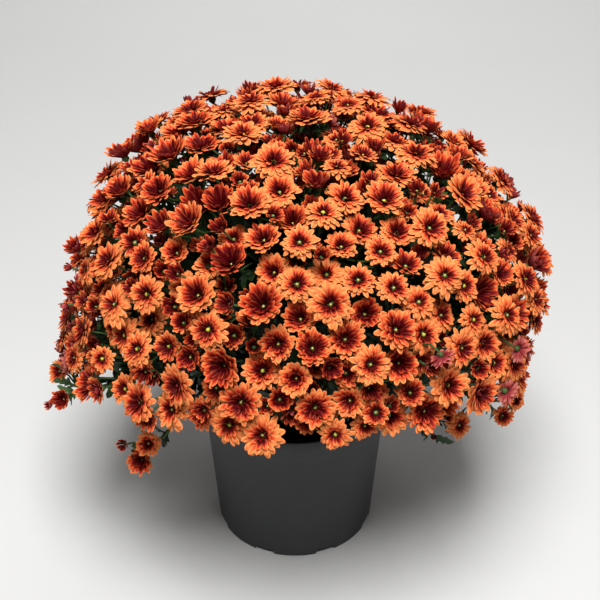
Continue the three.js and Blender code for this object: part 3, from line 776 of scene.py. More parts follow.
# %% The petals of one row
def make_row(number, row):
    """The petals of one row of all blooms: points, faces and the values at their points."""
    full = np.array(row["petals"])[flower_kind]
    owner = np.repeat(np.arange(bloom_count), full)
    place = np.arange(len(owner)) - np.repeat(np.cumsum(full) - full, full)
    count = len(owner)
    place_change = random.uniform(-turn_change, turn_change, count)
    turn = (place + 0.5 * number + place_change) / full[owner]
    azimuth = 2 * np.pi * turn + spin[owner] + row_turn * number

    out = facing[owner]
    ray = turned_way(azimuth, *across_ways(out))
    side = np.cross(out, ray)

    age = openness[owner]
    own_radius = radius[owner]
    slopes = [
        np.radians(closed + (opened - closed) * age + random.normal(0, slope_change, count))
        for opened, closed in zip(row["open"], row["closed"])
    ]
    reach = own_radius * (young_reach + (1 - young_reach) * age) * row["reach"]
    reach = reach * random.uniform(*reach_range, count)
    widest_start = heart_radius * (1 - heart_narrowing * number)
    start_radius = np.minimum(widest_start, heart_share * own_radius)
    spread = np.maximum(np.cos((slopes[0] + slopes[1]) / 2), least_spread)
    length = np.maximum(reach - start_radius, 2) / spread

    stations = np.array(row["stations"], float)
    slope = slopes[0][:, None] + (slopes[1] - slopes[0])[:, None] * stations
    step = np.diff(stations) * length[:, None]
    middle_slope = (slope[:, 1:] + slope[:, :-1]) / 2
    run = np.concatenate([np.zeros((count, 1)), np.cumsum(np.cos(middle_slope) * step, 1)], 1)
    rise = np.concatenate([np.zeros((count, 1)), np.cumsum(np.sin(middle_slope) * step, 1)], 1)
    spine = heart[owner][:, None] + (start_radius[:, None] + run)[..., None] * ray[:, None]
    spine = spine + rise[..., None] * out[:, None]

    twist = random.normal(0, twist_change, count)[:, None] * stations[:-1]
    flat = turned_way(slope[:, :-1], out[:, None], -ray[:, None])
    turned_side = turned_way(twist, side[:, None], flat)
    turned_flat = turned_way(twist, flat, -side[:, None])

    outline = np.interp(stations[:-1], *np.array(petal_outline).T)
    width = row["width"] * own_radius * random.uniform(*width_range, count)
    width = width * (young_width + (1 - young_width) * age)
    half_width = 0.5 * width[:, None] * outline
    ridge = ridge_share * half_width * random.uniform(*ridge_range, count)[:, None]
    thickness = np.full(half_width.shape, petal_thickness)
    points, faces = ribbons(spine, turned_side, turned_flat, half_width, ridge, thickness)

    # The tone runs from dark (0) at the heart to light (1) at the tip; it starts to change
    # farther out in inner rows and in younger flowers. The dark heart and inner rows are partly
    # the petals' own maroon and partly painted shade of the cup.
    change = change_start + row["red_and_cup_shade"] + change_young * (1 - age) + bloom_shade[owner]
    change = change + random.normal(0, change_random, count)
    share = np.concatenate([np.repeat(stations[:-1], 3), [0, 1]])
    return alike(
        owner,
        points,
        faces,
        blade_back(len(stations), 3),
        tone=np.clip((share - change[:, None]) / change_width + tone_lift, 0, 1),
        chance=random.random(count)[:, None],
        across=blade_across(len(stations), 3),
        along=share,
    )


# %% All rows
rows = [make_row(number, row) for number, row in enumerate(petal_rows)]
print("petals:", sum(len(row["owner"]) for row in rows),
      "triangles:", sum(len(row["owner"]) * len(row["faces"]) for row in rows))

# %% Turned forms on each flower's axis
end_rise = 0.25


def turned(profile, sides, centres_given, ways, scales):
    """A profile of (radius, height) pairs carried round an axis, once for each flower.

    Ring point = centre + scale (height way + radius (cos first + sin second)).
    """
    first, second = across_ways(ways)
    angle = np.arange(sides) * 2 * np.pi / sides
    circle = turned_way(angle, first[:, None], second[:, None])
    profile = np.array(profile, float)
    size = scales[:, None, None, None]
    height = profile[:, 1][:, None, None] * ways[:, None, None]
    middle = centres_given[:, None, None] + size * height
    rings = middle + size * profile[:, 0][:, None, None] * circle[:, None]
    tips = middle[:, -1, 0] + end_rise * size[:, 0, 0] * ways
    return shells(rings, middle[:, 0, 0], tips)


# %% Eyes
eye_profile = [(1.8, -1.5), (2.1, 0.4), (1.2, 1.3)]
ripe_openness = 0.7
ripe_share = 0.3
young_eye = 0.6
eye_rise = 1.2
hidden_openness = 0.3
eye_chance = fraction(np.arange(bloom_count), 24)
eye_ripe = (openness > ripe_openness) & (eye_chance < ripe_share)
eye_size = np.where(eye_ripe, 1.0, young_eye) * np.minimum(1, radius / 18)
# Closed flowers hide their eyes.
eye_owner = np.flatnonzero(openness > hidden_openness)
eye_places = heart[eye_owner] + eye_rise * facing[eye_owner]
eyes = turned(eye_profile, 6, eye_places, facing[eye_owner], eye_size[eye_owner])
print("eye triangles:", len(eyes[1]))

# %% [markdown]
# A petal is not one colour. Its heart is maroon, darkened further by painted shade of the
# cup, then it turns red, orange, and a lighter yellowish orange at the tip, while the back
# stays a dull rose. Its edges are painted lighter, partly a paler rim of its own and partly
# a painted highlight where the rims catch the light, and its middle darker, partly painted
# shade in the groove. The tone worked out above runs through a ramp of these colours. Fine
# streaks along the petal come from noise that is stretched along the surface's own map,
# and they also make the shallow grooves that catch the light.

# %% Petal finish
petals = Finish("bronze_petals")
chance = petals.attribute("chance")
tone = petals.attribute("tone")
petal_across, petal_along = petals.surface_map()
streak_place = petals.add("CombineXYZ", {
    0: petals.scaled(petal_across, 9.0),
    1: petals.scaled(petal_along, 1.1),
    2: petals.scaled(chance, 40.0),
}).outputs[0]
streaks = petals.noise(streak_place, 1.0, detail=3.0, roughness=0.6)
mottle = petals.noise(petals.coordinates(), 420.0, detail=2.0)
tone_change = petals.scaled(streaks, 0.6, -0.3)
tone_change = petals.scaled(mottle, 0.12, tone_change)
# Painted highlight and shade: the middle of each petal is darkened, partly its own streak and
# partly painted shade of a groove.
off_middle = petals.math("ABSOLUTE", petals.scaled(petal_across, 1.0, -0.5))
edge = petals.math("POWER", petals.scaled(off_middle, 2.0), 1.6)
middle_streak_and_shade = petals.math("SUBTRACT", 1.0, edge)
tone_change = petals.scaled(middle_streak_and_shade, -0.26, tone_change)
tone_change = petals.math("ADD", tone_change, 0.08)
varied_tone = petals.math("ADD", tone, tone_change)
front_colour = petals.ramp(varied_tone, [
    (0.0, (0.07, 0.001, 0.003)),
    (0.22, (0.23, 0.003, 0.004)),
    (0.46, (0.56, 0.028, 0.009)),
    (0.72, (0.79, 0.116, 0.032)),
    (1.0, (0.87, 0.245, 0.070)),
])
# Painted highlight: the lighter colour mixed in towards the edges is partly the petal's own paler
# rim and partly painted light caught on the rims.
rim_colour_and_highlight = petals.scaled(petals.scaled(edge, varied_tone), 0.55)
front_colour = petals.mix(rim_colour_and_highlight, front_colour, (0.94, 0.43, 0.14))
back_streaks = petals.scaled(streaks, 1.1, petals.scaled(tone, 0.7, -0.35))
back_colour = petals.ramp(back_streaks, [
    (0.0, (0.17, 0.012, 0.020)),
    (0.5, (0.36, 0.048, 0.050)),
    (1.0, (0.64, 0.20, 0.16)),
])
petal_colour = petals.mix(petals.attribute("back"), front_colour, back_colour)
petal_finish = petals.finish(
    petal_colour,
    petals.scaled(streaks, 0.2, 0.48),
    petals.bump(streaks, 0.0004, 0.6),
    Specular_IOR_Level=0.06,
)

# %% [markdown]
# The eye is a small cushion of tiny tubes, yellow and green when it is ripe and brownish
# before. Modelled one by one they would be smaller than a point of the picture, so a
# Voronoi pattern dots the cushion in colour and in bump.

# %% Eye finish
eye = Finish("flower_eye")
eye_dots = eye.add("TexVoronoi", {"Vector": eye.coordinates(), "Scale": 1500.0})
eye_colour = eye.ramp(eye.attribute("tone"), [
    (0.0, (0.55, 0.28, 0.2)),
    (0.5, (0.72, 0.55, 0.16)),
    (1.0, (0.55, 0.56, 0.03)),
])
eye_colour = eye.mix(eye_dots.outputs["Distance"], eye_colour, (0.75, 0.66, 0.1))
eye_finish = eye.finish(eye_colour, 0.6, eye.bump(eye_dots.outputs["Distance"], 0.0005))

# %% One object of blooms for each spray
eye_part = alike(
    eye_owner,
    *eyes,
    np.zeros(len(eyes[1]) // len(eye_owner)),
    tone=np.where(eye_ripe, 1.0, 0.35 * openness)[eye_owner, None],
    chance=0.0,
    across=0.5,
    along=0.0,
)
bloom_parts = rows + [eye_part]
for k, name in enumerate(spray_names + stray_names):
    own_parts = []
    for part in bloom_parts:
        own = spray_of[part["owner"]] == k
        own_part = {key: part[key][own] for key in ("points", "tone", "chance", "across", "along")}
        own_part["faces"] = repeat_faces(part["faces"], own_part["points"])
        own_part["back"] = np.tile(part["back"], int(own.sum()))
        own_parts.append(own_part)
    points, faces = join([(part["points"].reshape(-1, 3), part["faces"]) for part in own_parts])
    values = {
        key: np.concatenate([part[key].ravel() for part in own_parts])
        for key in ("tone", "chance", "across", "along", "back")
    }
    piece_name = name.replace("spray", "bloom_spray")
    piece = make_piece(piece_name, points, faces, [petal_finish, eye_finish], [name])
    add_uv(piece.data, faces, np.stack([values["across"], values["along"]], -1))
    add_values(piece.data, "tone", values["tone"])
    add_values(piece.data, "chance", values["chance"])
    add_values(piece.data, "back", np.repeat(values["back"], 3), "CORNER")
    number = np.zeros(len(faces), np.int32)
    number[len(faces) - len(own_parts[-1]["faces"]):] = 1
    piece.data.polygons.foreach_set("material_index", number)
print("bloom objects:", len(spray_names + stray_names))

# %% [markdown]
# Stems bend: they leave a fork in the direction of the stem before it and arrive in the
# direction that the flower faces. A cubic curve with its two handles a third of the way
# along those directions does just that, and a circle carried along it makes the tube.
# Curve objects with a round bevel would give the same tubes, but a thousand of them are
# slow to handle, and one mesh holds them all.

# %% Stems
def bend(start, end, leaving, arriving, shares):
    """Cubic curves: each point is the usual mix of the two ends and the two handles.

    The shares along the curve are the same for all, or a row for each of them.
    """
    share = np.atleast_2d(shares)[..., None]
    span = np.linalg.norm(end - start, axis=-1)[:, None, None] / 3
    one = start[:, None] + unit(leaving)[:, None] * span
    other = end[:, None] - unit(arriving)[:, None] * span
    rest = 1 - share
    curve = rest ** 3 * start[:, None] + 3 * rest ** 2 * share * one
    return curve + 3 * rest * share ** 2 * other + share ** 3 * end[:, None]


def tubes(paths, start_radius, end_radius, sides):
    """Closed tubes: circles across each path, whose radius changes evenly along it."""
    along = unit(np.gradient(paths, axis=1))
    helper = np.eye(3)[np.abs(paths[:, -1] - paths[:, 0]).argmin(axis=1)][:, None]
    across = unit(helper - dot(helper, along) * along)
    third = np.cross(along, across)
    angle = np.arange(sides) * 2 * np.pi / sides
    circle = turned_way(angle, across[:, :, None], third[:, :, None])
    share = np.linspace(0, 1, paths.shape[1])
    size = start_radius + (end_radius - start_radius) * share
    rings = paths[:, :, None] + size[None, :, None, None] * circle
    return shells(rings, paths[:, 0], paths[:, -1])


# %% The crown's forks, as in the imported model
branch_count = 8
trunk_top = np.array([0.0, 0.0, 186.0])
trunk_foot = np.array([0.0, 0.0, 114.0])
branch_reach = 62
branch_drop = 40
branch_overlap = 8
branch_rise = 1.2
branch_sag = 0.2
bough_reach = 105
spray_azimuth = np.arctan2(spray_directions[:, 1], spray_directions[:, 0])
by_azimuth = np.argsort(spray_azimuth, kind="stable").reshape(branch_count, -1)
branch_forks = []
bough_forks = []
bough_ways = []
bough_of_spray = np.zeros(spray_count, int)
for k, own in enumerate(by_azimuth):
    own = own[np.argsort(-spray_directions[own, 2], kind="stable")]
    way = unit(spray_directions[own].mean(axis=0))
    branch_forks.append(way * branch_reach + mound_middle - branch_drop * up)
    for pair in own.reshape(3, 2):
        bough_way = unit(spray_directions[pair].mean(axis=0))
        bough_of_spray[pair] = len(bough_forks)
        bough_ways.append(bough_way)
        bough_forks.append(bough_way * bough_reach + mound_middle)
branch_forks, bough_forks = np.array(branch_forks), np.array(bough_forks)
bough_ways = np.array(bough_ways)
stray_boughs = np.linalg.norm(stray_seats[:, None] - bough_forks[None], axis=-1).argmin(axis=1)
branch_of_bough = np.arange(len(bough_forks)) // 3
print("branches:", len(branch_forks), "boughs:", len(bough_forks))

# %% Stem paths
arm_ways = unit((arm_forks - spray_forks[:, None]).reshape(-1, 3))
fork_ways = np.concatenate([arm_ways, stray_axes])
# A cup's profile is its radius and height; a small flower has a small cup. The stem ends
# inside the cup.
cup_profile = [(1.0, -6.0), (2.2, -4.6), (3.9, -2.4), (3.1, 0.8)]
cup_size = np.clip(radius / 19, 0.5, 1.15)
cup_rise = 0.2
stem_end = 4.8
cup_place = heart + cup_rise * facing
flower_base = cup_place - (stem_end * cup_size)[:, None] * facing
flower_ends = (all_forks[fork_of], flower_base, fork_ways[fork_of], facing)
arm_ends = (
    np.repeat(spray_forks, 3, axis=0),
    arm_forks.reshape(-1, 3),
    np.repeat(seat_ways, 3, axis=0),
    arm_directions.reshape(-1, 3),
)
stalk_ends = (
    np.concatenate([bough_forks[bough_of_spray], bough_forks[stray_boughs]]),
    np.concatenate([spray_forks, stray_forks]),
    np.concatenate([bough_ways[bough_of_spray], bough_ways[stray_boughs]]),
    np.concatenate([seat_ways, stray_axes]),
)
bough_ends = (
    branch_forks[branch_of_bough],
    bough_forks,
    unit(branch_forks - trunk_top)[branch_of_bough],
    bough_ways,
)
branch_ends = (
    np.repeat(trunk_top[None] - branch_overlap * up, branch_count, axis=0),
    branch_forks,
    unit(branch_forks - trunk_top) + branch_rise * up,
    unit(branch_forks - trunk_top) - branch_sag * up,
)
# Rings along each kind of stem, then its radius at the start and the end, and its sides.
green_stems = [
    tubes(bend(*ends, np.linspace(0, 1, ring_count)), *sizes)
    for ends, ring_count, sizes in (
        (flower_ends, 5, (1.25, 1.05, 5)),
        (arm_ends, 5, (1.8, 1.5, 6)),
        (stalk_ends, 7, (2.6, 2.0, 7)),
    )
]
cups = turned(cup_profile, 6, cup_place, facing, cup_size)
print("green stems:", sum(len(ends[0]) for ends in (flower_ends, arm_ends, stalk_ends)))
woody_stems = [
    tubes(bend(*ends, np.linspace(0, 1, ring_count)), *sizes)
    for ends, ring_count, sizes in (
        (bough_ends, 7, (3.6, 2.8, 8)),
        (branch_ends, 9, (6.0, 4.2, 10)),
    )
]

# %% Trunk: a short stump with a ridge for each branch
ridge_height = 0.08
ridge_twist = 1.5


def ridged_column(foot, top, lower_radius, upper_radius, rings, sides, ridges):
    """Radius = a share of the way from lower to upper, times 1 + height cos(ridges angle)."""
    share = np.linspace(0, 1, rings)[:, None]
    angle = (np.arange(sides) * 2 * np.pi / sides)[None]
    size = lower_radius + (upper_radius - lower_radius) * share
    size = size * (1 + ridge_height * np.cos(ridges * angle + ridge_twist * share))
    height = foot[2] + (top[2] - foot[2]) * share + 0 * angle
    ring = np.stack([foot[0] + size * np.cos(angle), foot[1] + size * np.sin(angle), height], -1)
    return shells(ring[None], foot[None], top[None] + 2 * up)


trunk = ridged_column(trunk_foot, trunk_top, 11.0, 9.0, rings=14, sides=32, ridges=branch_count)

# %% [markdown]
# Young stems are green and a little rough, old ones woody and brown. Noise in even patches
# is enough for the green. Bark runs lengthwise, so its noise is squeezed across the trunk
# by a Mapping node and left long upwards. A photographed bark would need a map on every
# tube, and noise that is a function of place needs none.

# %% Stem finish
stem = Finish("green_stem")
stem_patches = stem.noise(stem.coordinates(), 60.0, detail=3.0)
stem_fibres = stem.noise(stem.coordinates(), 900.0, detail=1.0)
stem_colour = stem.ramp(stem_patches, [
    (0.3, (0.022, 0.052, 0.010)),
    (0.55, (0.050, 0.10, 0.022)),
    (0.75, (0.10, 0.17, 0.045)),
])
stem_finish = stem.finish(stem_colour, 0.6, stem.bump(stem_fibres, 0.0003, 0.5),
                          Specular_IOR_Level=0.35)

wood = Finish("woody_stem")
bark_place = wood.add("Mapping", {"Vector": wood.coordinates(), "Scale": (260.0, 260.0, 40.0)})
bark = wood.noise(bark_place.outputs[0], 1.0, detail=4.0, roughness=0.65)
wood_colour = wood.ramp(bark, [
    (0.3, (0.035, 0.03, 0.015)),
    (0.6, (0.12, 0.1, 0.05)),
    (0.85, (0.22, 0.19, 0.11)),
])
wood_finish = wood.finish(wood_colour, 0.85, wood.bump(bark, 0.0012, 0.8))

# %% Stem and trunk objects
stem_points, stem_faces = join(green_stems + [cups])
make_piece("stems_and_cups", stem_points, stem_faces, [stem_finish], ["crown"])
wood_points, wood_faces = join(woody_stems + [trunk])
make_piece("trunk_and_branches", wood_points, wood_faces, [wood_finish], ["crown"])
print("stem triangles:", len(stem_faces), "wood triangles:", len(wood_faces))

# %% [markdown]
# A chrysanthemum's leaf has two pairs of rounded lobes that point forward, and a broad
# tip. It is a blade like a petal, with more stations and a half width that swells at each
# lobe. A flat card with a picture of a leaf would be cheaper, but it has no thickness, and
# its lobes are gone wherever the picture is. Leaves stand on the flower stems, the arms
# and the stalks, and thickest on the skirt, where the mound's lower edge lets them show.

# %% Leaf shape
# Share of the length, half width as a share of the widest, forward sweep as a share of the
# length.
leaf_outline = np.array([
    (0.0, 0.07, 0.0), (0.16, 0.07, 0.0), (0.25, 0.2, 0.0),
    (0.33, 0.72, 0.02), (0.4, 0.98, 0.06), (0.46, 0.5, 0.0),
    (0.54, 0.62, 0.01), (0.62, 0.9, 0.05), (0.69, 0.48, 0.0),
    (0.79, 0.56, 0.01), (0.88, 0.46, 0.01), (0.95, 0.24, 0.0),
])
leaf_stations = np.concatenate([leaf_outline[:, 0], [1.0]])
leaf_broadness = 0.56
broadness_range = (0.85, 1.15)
leaf_droop = 0.22
droop_range = (0.3, 1.6)
leaf_rise = 0.08
leaf_channel = 0.3
leaf_wave = 0.15
wave_turn = 15
wave_shift = 6
short_step = 0.02
leaf_thickness = 0.5
stalk_thickness = 0.6


def leaf_set(ends, owners, share, lean, length, broadness=leaf_broadness):
    """A leaf on the stem of each owner, with numbers drawn within the given ranges.

    A leaf leaves its stem at the angle lean. Its spine is the straight way along it minus
    the droop times the square of the share, along the leaf's upward direction.
    """
    count = len(owners)
    share = random.uniform(*share, count)
    lean = np.radians(random.uniform(*lean, count))
    turn = random.uniform(0, 2 * np.pi, count)
    length = random.uniform(*length, count)
    broadness = random.uniform(*broadness_range, count) * broadness
    droop = random.uniform(*droop_range, count) * leaf_droop

    near = bend(*[end[owners] for end in ends], share[:, None] + np.array([0, short_step]))
    base, stem_way = near[:, 0], unit(near[:, 1] - near[:, 0])
    sideways = turned_way(turn, *across_ways(stem_way, (0.23, 0.61, 0.75)))
    along = turned_way(lean, stem_way, sideways)
    normal = unit(stem_way - dot(stem_way, along) * along)
    side = np.cross(normal, along)
    share_along = leaf_stations[None, :, None]
    size = length[:, None, None]
    fall = (droop[:, None, None] * share_along ** 2 - leaf_rise * share_along) * size
    spine = base[:, None] + size * share_along * along[:, None] - fall * normal[:, None]
    half_width = 0.5 * (broadness * length)[:, None] * leaf_outline[:, 1]
    wave_angle = leaf_stations[:-1] * wave_turn + wave_shift * turn[:, None]
    wave = np.sin(wave_angle) * leaf_wave
    channel = half_width * (leaf_channel + wave)
    thickness = leaf_thickness + stalk_thickness * (1 - leaf_stations[:-1])
    thickness = np.broadcast_to(thickness, half_width.shape)
    sweep = length[:, None] * leaf_outline[:, 2]
    return blades(spine, side[:, None], normal[:, None], half_width, channel, thickness, sweep)


# %% Leaves of the plant
low_arm_height = 0.3
arm_owners = np.repeat(np.arange(3 * spray_count), 2)
inner_owners = np.repeat(np.arange(spray_count), 2)
stray_owners = np.repeat(spray_count + np.arange(stray_count), 6)
low_arms = np.flatnonzero(arm_directions.reshape(-1, 3)[:, 2] < low_arm_height)
stray_stems = np.flatnonzero(spray_of >= spray_count)
# Each set: stems, their numbers, place along the stem, lean in degrees, length, broadness.
leaf_sets = [
    leaf_set(flower_ends, np.arange(0, bloom_count, 2), (0.2, 0.6), (35, 70), (18, 32)),
    leaf_set(arm_ends, arm_owners, (0.25, 0.95), (35, 65), (34, 50)),
    leaf_set(stalk_ends, inner_owners, (0.35, 0.95), (30, 60), (46, 64)),
    leaf_set(stalk_ends, stray_owners, (0.4, 1.0), (30, 70), (20, 36)),
    leaf_set(arm_ends, np.repeat(low_arms, 3), (0.3, 1.0), (30, 75), (34, 52)),
    leaf_set(flower_ends, np.repeat(stray_stems, 2), (0.1, 0.8), (30, 65), (14, 26)),
    leaf_set(stalk_ends, inner_owners, (0.0, 0.4), (25, 60), (56, 70), 0.7),
    leaf_set(bough_ends, np.repeat(np.arange(len(bough_forks)), 7), (0.3, 1.0), (40, 85),
             (66, 86), 0.72),
    leaf_set(branch_ends, np.repeat(np.arange(branch_count), 9), (0.4, 1.0), (40, 80),
             (64, 84), 0.7),
]
leaf_points, leaf_faces = join(leaf_sets)
points_per_leaf = 4 * len(leaf_outline) + 2
leaf_count = len(leaf_points) // points_per_leaf
print("leaves:", leaf_count, "triangles:", len(leaf_faces))

# %% [markdown]
# A leaf is dark green with paler veins and a grey-green back. The veins follow the leaf's
# own map: a midrib in the middle, and a side vein wherever the distance along the leaf,
# less a share of the distance from its middle, passes the next of seven steps, so that the
# side veins run forward. A picture of a leaf would show real veins, but the same ones on
# every leaf. Leaves deep in the mound get painted shade: each point knows how deep it
# lies, and the deeper it is the darker its colour and the fainter its veins and paler back.

# %% Leaf finish
leaf = Finish("leaf")
leaf_chance = leaf.attribute("chance")
vein_across, vein_along = leaf.surface_map()
leaf_off_middle = leaf.math("ABSOLUTE", leaf.scaled(vein_across, 1.0, -0.5))
midrib = leaf.math("LESS_THAN", leaf_off_middle, 0.035)
vein_phase = leaf.scaled(leaf_off_middle, -0.55, vein_along)
vein_wave = leaf.math("FRACT", leaf.scaled(vein_phase, 7.0))
side_veins = leaf.math("LESS_THAN", vein_wave, 0.1)
veins = leaf.math("MAXIMUM", midrib, leaf.scaled(side_veins, 0.6))
leaf_patches = leaf.noise(leaf.coordinates(), 90.0, detail=4.0)
leaf_tone = leaf.scaled(leaf_chance, 0.5, leaf.scaled(leaf_patches, 0.5))
# Painted shade: the leaf colour darkens with depth in the mound.
leaf_tone = leaf.scaled(leaf_tone, leaf.attribute("outside"))
leaf_colour = leaf.ramp(leaf_tone, [
    (0.0, (0.004, 0.010, 0.003)),
    (0.3, (0.012, 0.034, 0.008)),
    (0.6, (0.030, 0.080, 0.016)),
    (0.9, (0.075, 0.150, 0.036)),
])
# Painted shade: the paler veins and back fade out deep in the mound.
leaf_light = leaf.scaled(leaf.attribute("outside"), 0.4)
leaf_colour = leaf.mix(leaf.scaled(veins, leaf_light), leaf_colour,
                       (0.12, 0.21, 0.07))
leaf_colour = leaf.mix(leaf.scaled(leaf.attribute("back"), leaf_light), leaf_colour,
                       (0.11, 0.17, 0.075))
leaf_finish = leaf.finish(
    leaf_colour,
    leaf.scaled(leaf_patches, 0.2, 0.45),
    leaf.bump(leaf.math("SUBTRACT", leaf_patches, veins), 0.0006, 0.5),
    Specular_IOR_Level=0.22,
)

# %% Leaves as an object
leaves = make_piece("leaves", leaf_points, leaf_faces, [leaf_finish], ["crown"])
leaf_across = np.tile(blade_across(len(leaf_stations), 4), leaf_count)
leaf_along = np.tile(np.concatenate([np.repeat(leaf_stations[:-1], 4), [0, 1]]), leaf_count)
add_uv(leaves.data, leaf_faces, np.stack([leaf_across, leaf_along], -1))
add_values(leaves.data, "chance", np.repeat(random.random(leaf_count), points_per_leaf))
# Painted shade: leaves deep in the mound are darker: 0 at 60 mm below the blooms, 1 from 15 mm on.
dark_depth = 60
light_depth = 15
from_middle = leaf_points - mound_middle
surface = place_at(unit(from_middle), np.zeros(len(leaf_points))) - mound_middle
leaf_depth = np.linalg.norm(surface, axis=-1) - np.linalg.norm(from_middle, axis=-1)
outside = (dark_depth - leaf_depth) / (dark_depth - light_depth)
add_values(leaves.data, "outside", np.clip(outside, 0.1, 1))
leaf_back = np.tile(blade_back(len(leaf_stations), 4), leaf_count)
add_values(leaves.data, "back", np.repeat(leaf_back, 3), "CORNER")

# %% [markdown]
# The pot is turned: a profile carried round the vertical axis. Its lower edge is not a
# plain ring, but eight feet with low arches between them, so near the ground the profile's
# heights are squeezed upwards where an arch is. The drain holes are cut afterwards,
# because a hole is what a boolean does best.

# %% Pot profile
pot_height = 178.0
pot_rim = 105.0
pot_base = 92.5
band_height = 19.0
band_step = 1.3
wall = 2.0
foot_height = 6.0
floor_top = 8.5
foot_count = 8
arch_half_angle = np.radians(7)
arch_edge = np.radians(1.2)
arch_share = 0.985
pot_sides = 288
wall_slope = (pot_rim - band_step - pot_base) / (pot_height - band_height)


def outer_at(height):
    return pot_base + wall_slope * height


def ring_stack(profile, sides):
    """Rings of (radius cos angle, radius sin angle, height) for a list of pairs."""
    profile = np.array(profile, float)
    angle = np.arange(sides) * 2 * np.pi / sides
    radius_part, height_part = profile[:, 0][:, None], profile[:, 1][:, None]
    return np.stack([
        radius_part * np.cos(angle), radius_part * np.sin(angle), height_part + 0 * angle,
    ], -1), angle


under_band = pot_height - band_height
rim_inside = outer_at(pot_height) - wall
floor_edge = outer_at(floor_top) - wall
# Radius and height: out along the underside, up the outside and down the inside.
pot_profile = [
    *[(r, foot_height) for r in (20, 45, 70, 82)],
    (pot_base - 6, foot_height - 0.5),
    (pot_base - 5.6, 2.5),
    (pot_base - 5, 0.4),
    (pot_base - 4.2, 0),
    (pot_base - 1, 0),
    (pot_base - 0.1, 0.6),
    *[(outer_at(z), z) for z in (3, 6, 7, 12, 30, 60, 90, 120, 145)],
    (outer_at(under_band) - 0.15, under_band - 0.6),
    (outer_at(under_band) + 0.3, under_band),
    (pot_rim - 0.35, under_band + band_step - 0.3),
    (pot_rim, under_band + band_step + 0.5),
    (pot_rim, pot_height - 1.4),
    (pot_rim - 0.4, pot_height - 0.4),
    (pot_rim - 1, pot_height),
    (rim_inside + 0.5, pot_height),
    *[(outer_at(z) - wall, z) for z in (pot_height - 0.6, 150, 110, 70, 30, 12)],
    (floor_edge - 0.8, floor_top + 0.6),
    (floor_edge - 2, floor_top),
    (70, floor_top),
    (30, floor_top),
]

# %% Pot with its feet
pot_rings, pot_angle = ring_stack(pot_profile, pot_sides)
step_angle = 2 * np.pi / foot_count
from_arch = np.abs((pot_angle + np.pi / 2) % step_angle - step_angle / 2)
arch = np.clip((arch_half_angle - from_arch) / arch_edge + 0.5, 0, 1)
arch = arch * arch * (3 - 2 * arch)
low = pot_rings[..., 2] < foot_height
lifted_feet = pot_rings[..., 2] + (foot_height - pot_rings[..., 2]) * arch_share * arch[None]
pot_rings[..., 2] = np.where(low, lifted_feet, pot_rings[..., 2])
pot_points, pot_faces = shells(
    pot_rings[None],
    np.array([[0.0, 0.0, foot_height]]),
    np.array([[0.0, 0.0, floor_top]]),
)

# %% [markdown]
# The pot is dull moulded plastic of a very dark grey. What makes it look real is small: a
# fine grain that breaks the gloss, scuffs of another roughness, and some dust near the
# ground. The first two are noise in the pot's own coordinates and the dust follows the
# height, so that nothing has to be unrolled and no seam shows.

# %% Pot finish
plastic = Finish("matte_pot_plastic")
plastic_place = plastic.coordinates()
grain = plastic.noise(plastic_place, 2600.0, detail=2.0)
scuffs = plastic.noise(plastic_place, 34.0, detail=5.0, roughness=0.7)
dust_height = plastic.add("SeparateXYZ", {0: plastic_place}).outputs[2]
low_dust = plastic.scaled(plastic.math("SUBTRACT", 0.03, dust_height), 16.0)
low_dust = plastic.add("Clamp", {"Value": low_dust}).outputs[0]
plastic_colour = plastic.ramp(scuffs, [
    (0.3, (0.030, 0.031, 0.034)),
    (0.6, (0.036, 0.037, 0.040)),
    (0.8, (0.044, 0.045, 0.048)),
])
plastic_colour = plastic.mix(plastic.scaled(low_dust, 0.25), plastic_colour,
                             (0.11, 0.105, 0.1))
plastic_finish = plastic.finish(
    plastic_colour,
    plastic.scaled(scuffs, 0.16, 0.42),
    plastic.bump(grain, 0.00012, 0.5),
    Specular_IOR_Level=0.3,
)
pot = make_piece("nursery_pot", pot_points, pot_faces, [plastic_finish], ["pot"], 50)

# %% Drain holes
hole_angle = -np.pi / 2 + (np.arange(foot_count) + 0.5) * step_angle
hole_radius = 8
hole_circle = 72
cutter_height = 14
hole_rings, _ = ring_stack([(hole_radius, 0), (hole_radius, cutter_height)], 28)
hole_places = hole_circle * towards(np.pi / 2 + 0 * hole_angle, hole_angle)
cutter_rings = hole_rings[None] + hole_places[:, None, None]
cutter_ends = hole_places + cutter_height * up
cutter_points, cutter_faces = shells(cutter_rings, hole_places, cutter_ends)
cutter = bpy.data.meshes.new("drain_cutter")
cutter.from_pydata((cutter_points * MILLIMETRE).tolist(), [], cutter_faces.tolist())
cutter_object = new_object("drain_cutter", cutter)
cut = pot.modifiers.new("drain holes", "BOOLEAN")
cut.object = cutter_object
cut.operation = "DIFFERENCE"
cut.solver = "EXACT"
ready = bpy.context.evaluated_depsgraph_get()
cut_mesh = bpy.data.meshes.new_from_object(pot.evaluated_get(ready))
pot.modifiers.clear()
pot.data = cut_mesh
bpy.data.objects.remove(cutter_object)
print("pot faces:", len(pot.data.polygons))

# %% [markdown]
# Potting soil is peat with bits of bark. Its top is a disc whose height is a sum of waves
# of smaller and smaller length, drawn from a lattice of random numbers. A displaced square
# grid would do it as well, but rings of points meet the round wall without a jagged edge.
# The rest of the fill is hidden in the pot, so it is a plain turned form a little inside
# the wall.

# %% Soil
soil_top = 158.0
soil_gap = 0.25
soil_sides = 144
soil_foot = floor_top + 0.3
lump_middle = 5.5
# Size, height and seed of the lumps.
lump_waves = ((24, 4.0, 1), (9, 3.0, 2), (4, 1.8, 3), (2.2, 0.8, 4))


